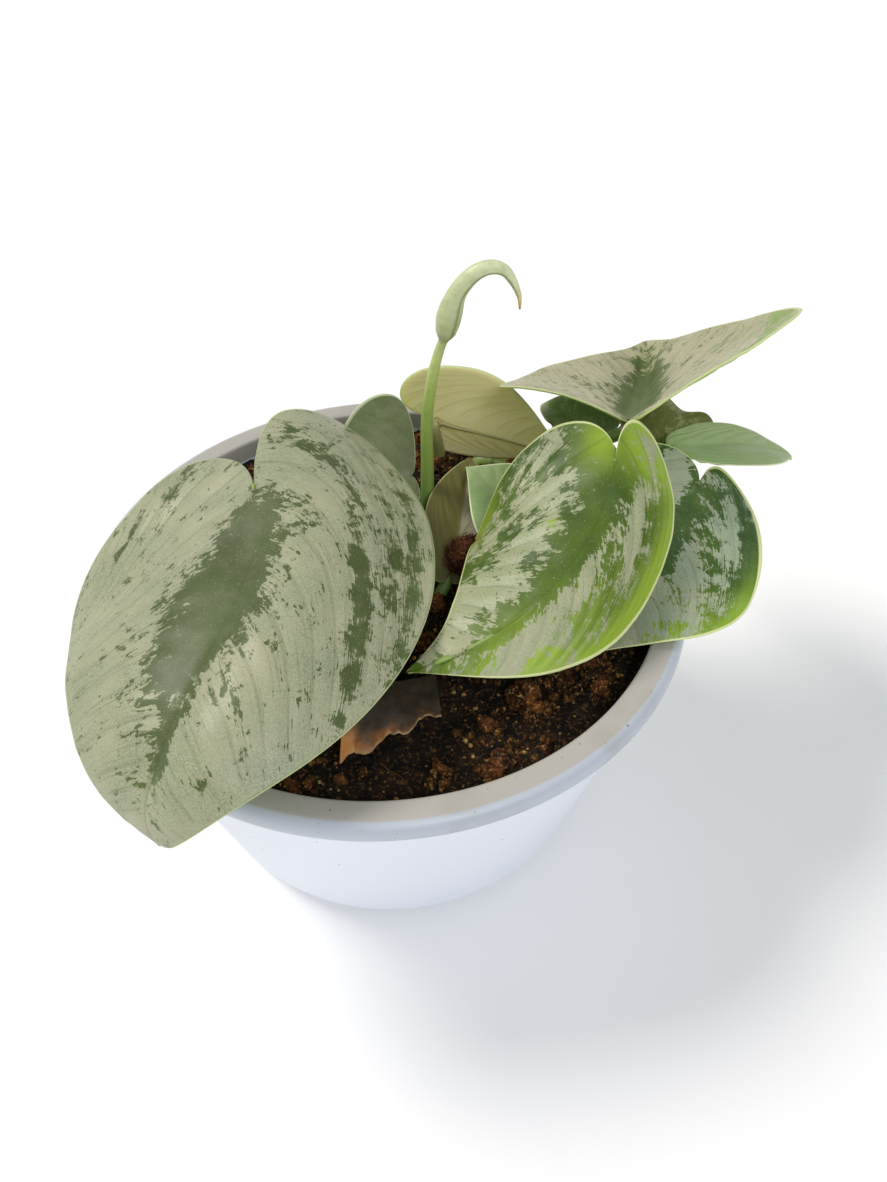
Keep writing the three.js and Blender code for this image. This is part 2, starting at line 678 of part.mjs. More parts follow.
// A vine is a little thicker at each joint
function vineRadius(vine) {
  return (share) => vine.radius * (1 + 0.14 * Math.max(0, Math.cos(2 * Math.PI * 4 * share)) ** 6)
}

const group = new THREE.Group()
const holes = []

for (const [name, leaf] of Object.entries(LEAVES)) {
  const frames = midribFrames(leaf)
  const curve = stalkCurve(leaf, frames)
  const stalk = tube(curve, 10, 8, stalkRadius)
  const solid = bladeSolid(leaf, frames).add(stalk)
  group.add(node(name, toGeometry(solid), leaf.colour))
  holes.push(tube(curve, 10, 8, (share) => stalkRadius(share) + 1.25 * GAP, GAP))
}

const newLeaf = newLeafCurve()
group.add(node('new_leaf',
  toGeometry(tube(newLeaf, NEW_LEAF.steps, NEW_LEAF.sides, newLeafRadius, 0, newLeafOutline)), 'paleLeaf'))
holes.push(tube(newLeaf, NEW_LEAF.steps, NEW_LEAF.sides, (share) => newLeafRadius(share) + 1.25 * GAP, GAP))

for (const [name, vine] of Object.entries(VINES)) {
  const curve = vineCurve(vine)
  group.add(node(name, toGeometry(tube(curve, 18, 8, vineRadius(vine))), 'vine'))
  holes.push(tube(curve, 18, 8, (share) => vineRadius(vine)(share) + 1.25 * GAP, GAP))
}

group.add(node('dead_leaf', toGeometry(deadLeafSolid()), 'deadLeaf'))
group.add(node('potting_mix', toGeometry(soilSolid(holes)), 'mix'))
group.add(node('pot', toGeometry(potSolid()), 'potWhite'))

export default group
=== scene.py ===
# %% [markdown]
# # A potted satin pothos
#
# The object is a young house plant in a low round plastic pot. Its leaves are thick, heart-shaped and
# splashed with silver. Each leaf follows one rule: a midrib that bends, two halves that fold and cup,
# and side veins that fan out from the notch. So one function makes them all, and a table says how each
# one is turned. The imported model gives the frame: every finer piece stands exactly where its solid does.

# %% Load the frame
import json
import math

import bpy
import numpy as np
from mathutils import Matrix, Vector, noise

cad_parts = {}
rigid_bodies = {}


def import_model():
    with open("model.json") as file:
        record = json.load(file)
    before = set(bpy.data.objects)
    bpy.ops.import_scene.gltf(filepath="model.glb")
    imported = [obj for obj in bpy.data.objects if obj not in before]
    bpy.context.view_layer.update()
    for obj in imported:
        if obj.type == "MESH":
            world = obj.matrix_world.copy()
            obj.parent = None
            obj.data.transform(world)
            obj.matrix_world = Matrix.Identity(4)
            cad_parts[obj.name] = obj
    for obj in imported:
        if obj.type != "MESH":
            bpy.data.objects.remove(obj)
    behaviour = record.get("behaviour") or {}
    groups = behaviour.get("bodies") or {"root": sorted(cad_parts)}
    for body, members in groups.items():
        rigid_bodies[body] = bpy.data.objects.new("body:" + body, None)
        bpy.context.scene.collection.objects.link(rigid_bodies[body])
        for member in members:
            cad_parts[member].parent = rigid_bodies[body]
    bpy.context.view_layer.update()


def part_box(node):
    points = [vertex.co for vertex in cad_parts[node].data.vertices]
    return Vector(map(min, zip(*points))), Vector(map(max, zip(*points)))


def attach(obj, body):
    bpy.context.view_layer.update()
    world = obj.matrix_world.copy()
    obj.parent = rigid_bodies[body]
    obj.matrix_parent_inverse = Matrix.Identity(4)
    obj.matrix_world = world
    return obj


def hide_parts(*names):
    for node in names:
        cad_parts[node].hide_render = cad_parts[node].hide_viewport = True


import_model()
MM = 0.001

# %% [markdown]
# ## Measures from the frame
#
# The pot is round and stands at the origin, so its box gives the radius of the lip and the height of the
# rim. The other sizes of the pot are its maker's: a flat band on the rim, a rolled lip, a wall that
# leans in towards a rounded base, and a flat hub and ring that it stands on.

# %% Sizes of the pot, in millimetres
pot_low, pot_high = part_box("pot")
LIP_RADIUS = (pot_high.x - pot_low.x) / 2 / MM
POT_HEIGHT = pot_high.z / MM
RIM_RADIUS = LIP_RADIUS - 3.3
MOUTH_RADIUS = LIP_RADIUS - 9.5
MOUTH_TAPER = 0.3
MOUTH_DEPTH = 14
LIP_DROP = 7.0
BODY_TOP_RADIUS = LIP_RADIUS - 4.4
BASE_RADIUS = 0.745 * LIP_RADIUS
BASE_ROUND = 13.0
BASE_EDGE = 0.6
WALL = 2.4
FOOT_RADIUS = 58.0
FOOT_WIDTH = 5.0
HUB_RADIUS = 20.0
RECESS = 1.6
DRAIN_RADIUS = 2.4
DRAIN_CIRCLE = 37.0
DRAINS = 6
SOIL_LEVEL = POT_HEIGHT - 8
print("lip radius", round(LIP_RADIUS, 1), "rim", round(POT_HEIGHT, 1), "mix level", round(SOIL_LEVEL, 1))

# %% [markdown]
# ## The camera
#
# A pot's rim is a circle, so its ellipse in the photograph gives the viewing angle: the camera looks down
# at 43.5 degrees from a hand's reach away, and it was held with a small roll. The camera is turned until
# the middle of the rim falls on its own pixel.

# %% Camera at the photograph's viewing angle
PHOTO_WIDTH, PHOTO_HEIGHT = 887, 1182
FOCAL_PIXELS = 1000
RIM_PIXEL = (386.9, 564.6)
VIEW_DOWN = math.radians(43.5)
VIEW_DISTANCE = 335.65
VIEW_ROLL = math.radians(4.07)

rim_centre = Vector((0, 0, POT_HEIGHT))
eye = rim_centre + VIEW_DISTANCE * Vector((0, -math.cos(VIEW_DOWN), math.sin(VIEW_DOWN)))
ahead = (rim_centre - eye).normalized()
right = Vector((1, 0, 0))
up = right.cross(ahead)
turn_right = Matrix.Rotation(math.atan2(RIM_PIXEL[0] - PHOTO_WIDTH / 2, FOCAL_PIXELS), 3, up)
ahead = turn_right @ ahead
right = turn_right @ right
turn_up = Matrix.Rotation(-math.atan2(PHOTO_HEIGHT / 2 - RIM_PIXEL[1], FOCAL_PIXELS), 3, right)
ahead = turn_up @ ahead
up = turn_up @ up
roll = Matrix.Rotation(VIEW_ROLL, 3, ahead)
right = roll @ right
up = roll @ up

camera_data = bpy.data.cameras.new("photo camera")
camera_data.sensor_width = 36
camera_data.lens = camera_data.sensor_width * FOCAL_PIXELS / max(PHOTO_WIDTH, PHOTO_HEIGHT)
camera_data.clip_start = 0.01
camera_data.clip_end = 20
camera = bpy.data.objects.new("photo camera", camera_data)
facing = Matrix((right, up, -ahead)).transposed().to_4x4()
camera.matrix_world = Matrix.Translation(eye * MM) @ facing
bpy.context.scene.collection.objects.link(camera)
bpy.context.scene.camera = camera
print("camera", [round(value) for value in eye], "lens", round(camera_data.lens, 2))

# %% [markdown]
# ## Small helpers
#
# Colours are written as sRGB hex, as a paint chart gives them, and Blender's shaders want linear light.
# One function turns the one into the other. Another adds a node with its settings, values and links.

# %% Helpers for colours, nodes and objects
def linear(code):
    channels = [int(code[i:i + 2], 16) / 255 for i in (1, 3, 5)]
    return [c / 12.92 if c <= 0.04045 else ((c + 0.055) / 1.055) ** 2.4 for c in channels] + [1.0]


def add(tree, kind, settings=None, inputs=None):
    """A node with its settings. An input is a value, a colour code, or the node or socket to link from."""
    own_name = kind.startswith(("Geometry", "Function", "Node"))
    node = tree.nodes.new(kind if own_name else "ShaderNode" + kind)
    if kind == "Mix":
        node.data_type = "RGBA"
    for key, value in (settings or {}).items():
        setattr(node, key, value)
    for key, value in (inputs or {}).items():
        if isinstance(value, bpy.types.Node):
            value = next(socket for socket in value.outputs if socket.enabled)
        if isinstance(value, bpy.types.NodeSocket):
            tree.links.new(value, node.inputs[key])
        else:
            is_colour = isinstance(value, str) and value.startswith("#")
            node.inputs[key].default_value = linear(value) if is_colour else value
    return node


def new_material(name, **surface):
    material = bpy.data.materials.new(name)
    material.use_nodes = True
    tree = material.node_tree
    shader = tree.nodes["Principled BSDF"]
    for key, value in surface.items():
        shader.inputs[key.replace("_", " ")].default_value = value
    return material, tree, shader


def fill_ramp(ramp, stops):
    """Sets a colour ramp's stops, from the first to the last."""
    elements = ramp.color_ramp.elements
    for element, (position, code) in zip(elements, (stops[0], stops[-1])):
        element.position, element.color = position, linear(code)
    for position, code in stops[1:-1]:
        elements.new(position).color = linear(code)


def paint(tree, base, *coats):
    """Coats of colour over a base, one after the other, each as strong as its share says."""
    for share, colour in coats:
        base = add(tree, "Mix", inputs={0: share, 6: base, 7: colour})
    return base


def cover(tree, shader, colour, height=None, strength=0.0, depth=0.0):
    """Links a finish's colour, and a bump with its depth in millimetres."""
    tree.links.new(colour.outputs[2], shader.inputs["Base Color"])
    if height is not None:
        bump = add(tree, "Bump", inputs={"Height": height, "Strength": strength, "Distance": depth * MM})
        tree.links.new(bump.outputs[0], shader.inputs["Normal"])


def new_object(name, points, faces, materials, attributes=None):
    """A mesh object with its points in millimetres, and float attributes on its points."""
    mesh = bpy.data.meshes.new(name)
    mesh.from_pydata((np.asarray(points, float) * MM).tolist(), [], faces)
    for key, values in (attributes or {}).items():
        values = np.asarray(values, float)
        kind = "FLOAT_VECTOR" if values.ndim == 2 else "FLOAT"
        layer = mesh.attributes.new(key, kind, "POINT")
        layer.data.foreach_set("vector" if values.ndim == 2 else "value", values.ravel())
    for material in materials:
        mesh.materials.append(material)
    mesh.shade_smooth()
    piece = bpy.data.objects.new(name, mesh)
    bpy.context.scene.collection.objects.link(piece)
    return piece


def apply_modifiers(piece):
    """Turns what the modifiers make into the piece's own mesh."""
    bpy.context.view_layer.update()
    evaluated = piece.evaluated_get(bpy.context.evaluated_depsgraph_get())
    made = bpy.data.meshes.new_from_object(evaluated)
    piece.modifiers.clear()
    piece.data = made
    return piece


def join(main, *others):
    """Makes several mesh objects one, named after the first."""
    bpy.ops.object.select_all(action="DESELECT")
    for piece in (main, *others):
        piece.select_set(True)
    bpy.context.view_layer.objects.active = main
    bpy.ops.object.join()
    return main


def smooth_step(low, high, value):
    t = np.clip((np.asarray(value, float) - low) / (high - low), 0, 1)
    return t * t * (3 - 2 * t)


def rough(points, scale, seed=0.0):
    """Smooth random heights between -1 and 1 at points in millimetres, with bumps about scale apart."""
    shift = Vector((seed * 7.1, seed * 3.3, seed * 5.7))
    return np.array([noise.noise(Vector(p) / scale + shift) for p in np.asarray(points, float)])


# %% [markdown]
# ## Leaf tissue
#
# A satin pothos leaf is thick and smooth. Air lies under the skin where it is silver, so those places
# look grey-green and a little metallic, and the rest is plain green. The silver follows the side veins: it
# is torn into streaks along them. The mesh carries a map of its veins, X across them and Y along them, so
# a noise that is stretched along Y tears in the right direction on every leaf. An attribute says how
# willingly each place turns silver, and the noise decides where the edge falls.

# %% Upper side of a silver leaf
STREAK_WIDTH = 1.6
STREAK_LENGTH = 5.0
PATCH = 6.0
LINE_WIDTH = 1.0
LINE_LENGTH = 22.0
CRUMB = 1.1
CELL = 0.5


def margin_line(tree):
    """1 on the pale line along the margin, 0 away from it."""
    distance = add(tree, "Attribute", {"attribute_name": "edge"}).outputs["Fac"]
    return add(tree, "MapRange", {"interpolation_type": "SMOOTHSTEP"}, {
        "Value": distance, "From Min": 1.2, "From Max": 0.75})


def vein_lines(tree, veins):
    """1 on the midrib and on the side veins, 0 between them."""
    phase = add(tree, "Attribute", {"attribute_name": "vein_phase"}).outputs["Fac"]
    off = add(tree, "Math", {"operation": "PINGPONG"}, {0: phase, 1: 0.5})
    side_line = add(tree, "MapRange", inputs={"Value": off, "From Min": 0.09, "From Max": 0.01})
    fade = add(tree, "Attribute", {"attribute_name": "vein_fade"}).outputs["Fac"]
    side_faded = add(tree, "Math", {"operation": "MULTIPLY"}, {0: side_line, 1: fade})
    split = add(tree, "SeparateXYZ", inputs={0: veins})
    rib_line = add(tree, "MapRange", inputs={
        "Value": split.outputs["Y"], "From Min": 0.9, "From Max": 0.3})
    return add(tree, "Math", {"operation": "MAXIMUM"}, {0: side_faded, 1: rib_line})


def leaf_top(name, green, bright, silver, silver_dark, margin, tear=1.0, patch=0.85, crumb=0.9,
             soft=0.05, line=0.3, dust=0.2):
    material, tree, shader = new_material(name, Roughness=0.42, Subsurface_Weight=0.15, Subsurface_Scale=1.0)
    shader.inputs["Subsurface Radius"].default_value = (0.0012, 0.0018, 0.0005)
    shader.inputs["Specular IOR Level"].default_value = 0.35
    veins = add(tree, "Attribute", {"attribute_name": "vein_map"}).outputs["Vector"]
    streak_map = add(tree, "Mapping", inputs={
        "Vector": veins, "Scale": (1 / STREAK_WIDTH, 1 / STREAK_LENGTH, 1)})
    place = add(tree, "TexCoord").outputs["Object"]
    streaks = add(tree, "TexNoise", inputs={
        "Vector": streak_map, "Scale": 1.0, "Detail": 5.0, "Roughness": 0.68, "Distortion": 0.5})
    patches = add(tree, "TexNoise", inputs={
        "Vector": place, "Scale": 1 / (PATCH * MM), "Detail": 3.0, "Distortion": 0.6})
    wish = add(tree, "Attribute", {"attribute_name": "silver"}).outputs["Fac"]
    torn = add(tree, "Math", {"operation": "MULTIPLY_ADD"}, {0: streaks, 1: 2 * tear, 2: wish})
    blotched = add(tree, "Math", {"operation": "MULTIPLY_ADD"}, {0: patches, 1: 2 * patch, 2: torn})
    crumbs = add(tree, "TexNoise", inputs={
        "Vector": place, "Scale": 1 / (CRUMB * MM), "Detail": 3.0, "Roughness": 0.65})
    crumbled = add(tree, "Math", {"operation": "MULTIPLY_ADD"}, {0: crumbs, 1: crumb, 2: blotched})
    middle = tear + patch + crumb / 2
    is_silver = add(tree, "MapRange", {"interpolation_type": "SMOOTHSTEP"}, {
        "Value": crumbled, "From Min": middle - soft, "From Max": middle + soft})
    cells = add(tree, "TexNoise", inputs={
        "Vector": place, "Scale": 1 / (CELL * MM), "Detail": 2.0, "Roughness": 0.6})
    cloud = add(tree, "TexNoise", inputs={"Vector": place, "Scale": 1 / (18 * MM), "Detail": 3.0})
    glint = add(tree, "MapRange", inputs={"Value": cells, "From Min": 0.32, "From Max": 0.68})
    tan_here = add(tree, "MapRange", inputs={
        "Value": cloud, "From Min": 0.35, "From Max": 0.7, "To Max": 0.5})
    line_map = add(tree, "Mapping", inputs={
        "Vector": veins, "Scale": (1 / LINE_WIDTH, 1 / LINE_LENGTH, 1)})
    lines_noise = add(tree, "TexNoise", inputs={
        "Vector": line_map, "Scale": 1.0, "Detail": 3.0, "Roughness": 0.6})
    line_here = add(tree, "MapRange", inputs={
        "Value": lines_noise, "From Min": 0.55, "From Max": 0.75, "To Max": line})
    silver_lined = paint(tree, silver_dark, (glint, silver), (tan_here, "#b7b394"), (line_here, green))
    # The bright attribute, from each leaf's glow spots, lays on the brighter green: partly the leaf's own
    # yellower green and partly painted light.
    yellow_and_painted_light = add(tree, "Attribute", {"attribute_name": "bright"}).outputs["Fac"]
    yellow_and_painted_light_cloud = add(tree, "Math", {"operation": "MULTIPLY_ADD", "use_clamp": True}, {
        0: cloud, 1: 0.5, 2: yellow_and_painted_light})
    yellow_and_painted_light_even = add(tree, "Math", {"operation": "SUBTRACT", "use_clamp": True}, {0: yellow_and_painted_light_cloud, 1: 0.2})
    dusted = add(tree, "MapRange", inputs={
        "Value": patches, "From Min": 0.35, "From Max": 0.75, "To Max": dust})
    speck = add(tree, "MapRange", inputs={
        "Value": cells, "From Min": 0.62, "From Max": 0.7, "To Max": 0.45})
    vein_shade = add(tree, "Math", {"operation": "MULTIPLY"}, {0: vein_lines(tree, veins), 1: 0.2})
    edge = margin_line(tree)
    hurt = add(tree, "Attribute", {"attribute_name": "brown"}).outputs["Fac"]
    browned = paint(tree, green, (yellow_and_painted_light_even, bright), (dusted, silver_dark), (speck, silver),
                    (is_silver, silver_lined), (vein_shade, green), (edge, margin), (hurt, "#8a6a35"))
    cover(tree, shader, browned, cells, 0.25, 0.15)
    return material


# %% [markdown]
# ## Undersides and stalks
#
# The underside has no silver. It is paler and duller than the top, its veins show more, and some light
# comes through it. Stalks are grained lengthways and get lighter as they rise.

# %% Underside of a leaf, and its stalk
def leaf_under(name, tissue, shade, vein, glow):
    material, tree, shader = new_material(name, Roughness=0.55, Subsurface_Weight=glow, Subsurface_Scale=1.0)
    shader.inputs["Subsurface Radius"].default_value = (0.003, 0.0035, 0.001)
    veins = add(tree, "Attribute", {"attribute_name": "vein_map"}).outputs["Vector"]
    fine_map = add(tree, "Mapping", inputs={"Vector": veins, "Scale": (1 / 2.5, 1 / 16, 1)})
    fine = add(tree, "TexNoise", inputs={"Vector": fine_map, "Scale": 1.0, "Detail": 4.0})
    line_shade = add(tree, "Math", {"operation": "MULTIPLY"}, {0: vein_lines(tree, veins), 1: 0.4})
    edge = margin_line(tree)
    edged = paint(tree, shade, (fine, tissue), (line_shade, vein), (edge, "#c9d59a"))
    cover(tree, shader, edged, fine, 0.3, 0.2)
    return material


def stalk_skin(name, low, high, from_height, to_height):
    material, tree, shader = new_material(name, Roughness=0.4, Subsurface_Weight=0.2, Subsurface_Scale=1.0)
    shader.inputs["Subsurface Radius"].default_value = (0.001, 0.0015, 0.0005)
    place = add(tree, "TexCoord").outputs["Object"]
    split = add(tree, "SeparateXYZ", inputs={0: place})
    rise = add(tree, "MapRange", inputs={
        "Value": split.outputs["Z"], "From Min": from_height * MM, "From Max": to_height * MM})
    stretch = add(tree, "Mapping", inputs={
        "Vector": place, "Scale": (1 / (0.8 * MM), 1 / (0.8 * MM), 1 / (9 * MM))})
    grain = add(tree, "TexNoise", inputs={"Vector": stretch, "Scale": 1.0, "Detail": 3.0})
    darker = add(tree, "MapRange", inputs={
        "Value": grain, "From Min": 0.35, "From Max": 0.7, "To Max": 0.35})
    grained = paint(tree, low, (rise, high), (darker, "#5f7d33"))
    cover(tree, shader, grained, grain, 0.4, 0.2)
    return material


# %% [markdown]
# ## The plant's finishes
#
# The same finish takes other colours on each leaf: the green, the brighter green, the silver and its
# darker shade, and the pale margin.

# %% The plant's finishes
# Living leaf skins: waxy and half glossy, with air under them where they are silver.
silver_top = leaf_top("silver leaf skin", "#3f4a22", "#6f8548", "#a3a98c", "#82886a", "#b9c793",
                      line=0.45, dust=0.2)
splashed_top = leaf_top("splashed leaf skin", "#2b470a", "#9bb92a", "#a5ad88", "#868e67", "#d3dc9c",
                        dust=0.1)
right_top = leaf_top("blue silver leaf skin", "#34521c", "#8fae2a", "#a5b399", "#87957a", "#d3dc9c",
                     dust=0.15)
wing_top = leaf_top("tan silver leaf skin", "#3a4a12", "#86a63e", "#b7b391", "#94936c", "#c3cf92",
                    line=0.6, dust=0.08)
cupped_top = leaf_top("cupped leaf skin", "#667c52", "#94a16c", "#a0a97e", "#8c9670", "#d9deba",
                      tear=0.3, patch=0.4, crumb=0.2, soft=0.3, line=0.1, dust=0.3)
# Leaves with hardly any silver: shaded, old or very young.
back_top = leaf_top("hidden leaf skin", "#7b985e", "#a9bb88", "#b2c096", "#9fae82", "#c8b08a", dust=0.3)
old_top = leaf_top("old leaf skin", "#686a38", "#8d8f56", "#92925e", "#7f804c", "#7d6339")
# The low leaf's dark olive is partly an old leaf's own colour and partly painted shade from the leaves above
# it.
olive_and_painted_shade_top = leaf_top("olive leaf skin with painted shade", "#5c5829", "#6f7040", "#6f6b38", "#5c5829", "#8f8f58", line=0.1)
pale_top = leaf_top("pale leaf skin", "#8dab6c", "#a8bd82", "#a9bd8a", "#9cb17e", "#d6dfb2", tear=0.3,
                    patch=0.3, crumb=0.3, soft=0.25, line=0.1)
# Undersides, duller than the top, and the ribbed skin of the stalks.
pale_under = leaf_under("pale leaf underside", "#a5bd6c", "#8eaa52", "#7c9745", 0.3)
# This underside's pale cream colours are painted backlight: they stand in for the window's light shining
# through the blade from behind.
painted_backlight_under = leaf_under("olive leaf underside", "#eee4b8", "#dccf9c", "#bdb37c", 0.4)
olive_stalk = stalk_skin("olive stalk skin", "#8a8a4a", "#b3a972", SOIL_LEVEL, SOIL_LEVEL + 25)
green_stalk = stalk_skin("leaf stalk skin", "#7b9a4e", "#9ab556", SOIL_LEVEL, SOIL_LEVEL + 50)
print("made the leaf finishes")

# %% [markdown]
# ## How each leaf is turned
#
# Every leaf has the same kind of values. Its base is where the stalk meets the blade. The midrib heads
# away from there, drops, and bends, hooks, sweeps and twists on its way to the tip. Each half folds, cups
# and turns its rim: these are pairs, for the half left of the midrib and the half right of it, seen from
# above by someone who faces the tip. Spots say where a leaf is greener (negative) or more silver
# (positive), and glow says where it is brighter, partly its own yellower green and partly painted light:
# a place along and across the leaf as shares of its length and width, left positive, how far it reaches
# each way, and how much. The margin is the pale line's width, with places where it is wider, and nicks
# are small cuts: half, place, depth and width.

# %% Values of the leaves, in millimetres and degrees
LEAF_THICK = 0.8
STALK_TOP = 1.9
STALK_FOOT = 3.0
STALK_DEPTH = 22.0
STALK_SIDES = 16
LARGE_LEAF = 60
LARGE_GRID = (150, 34)
SMALL_GRID = (80, 20)
VEIN_FAN = 0.42

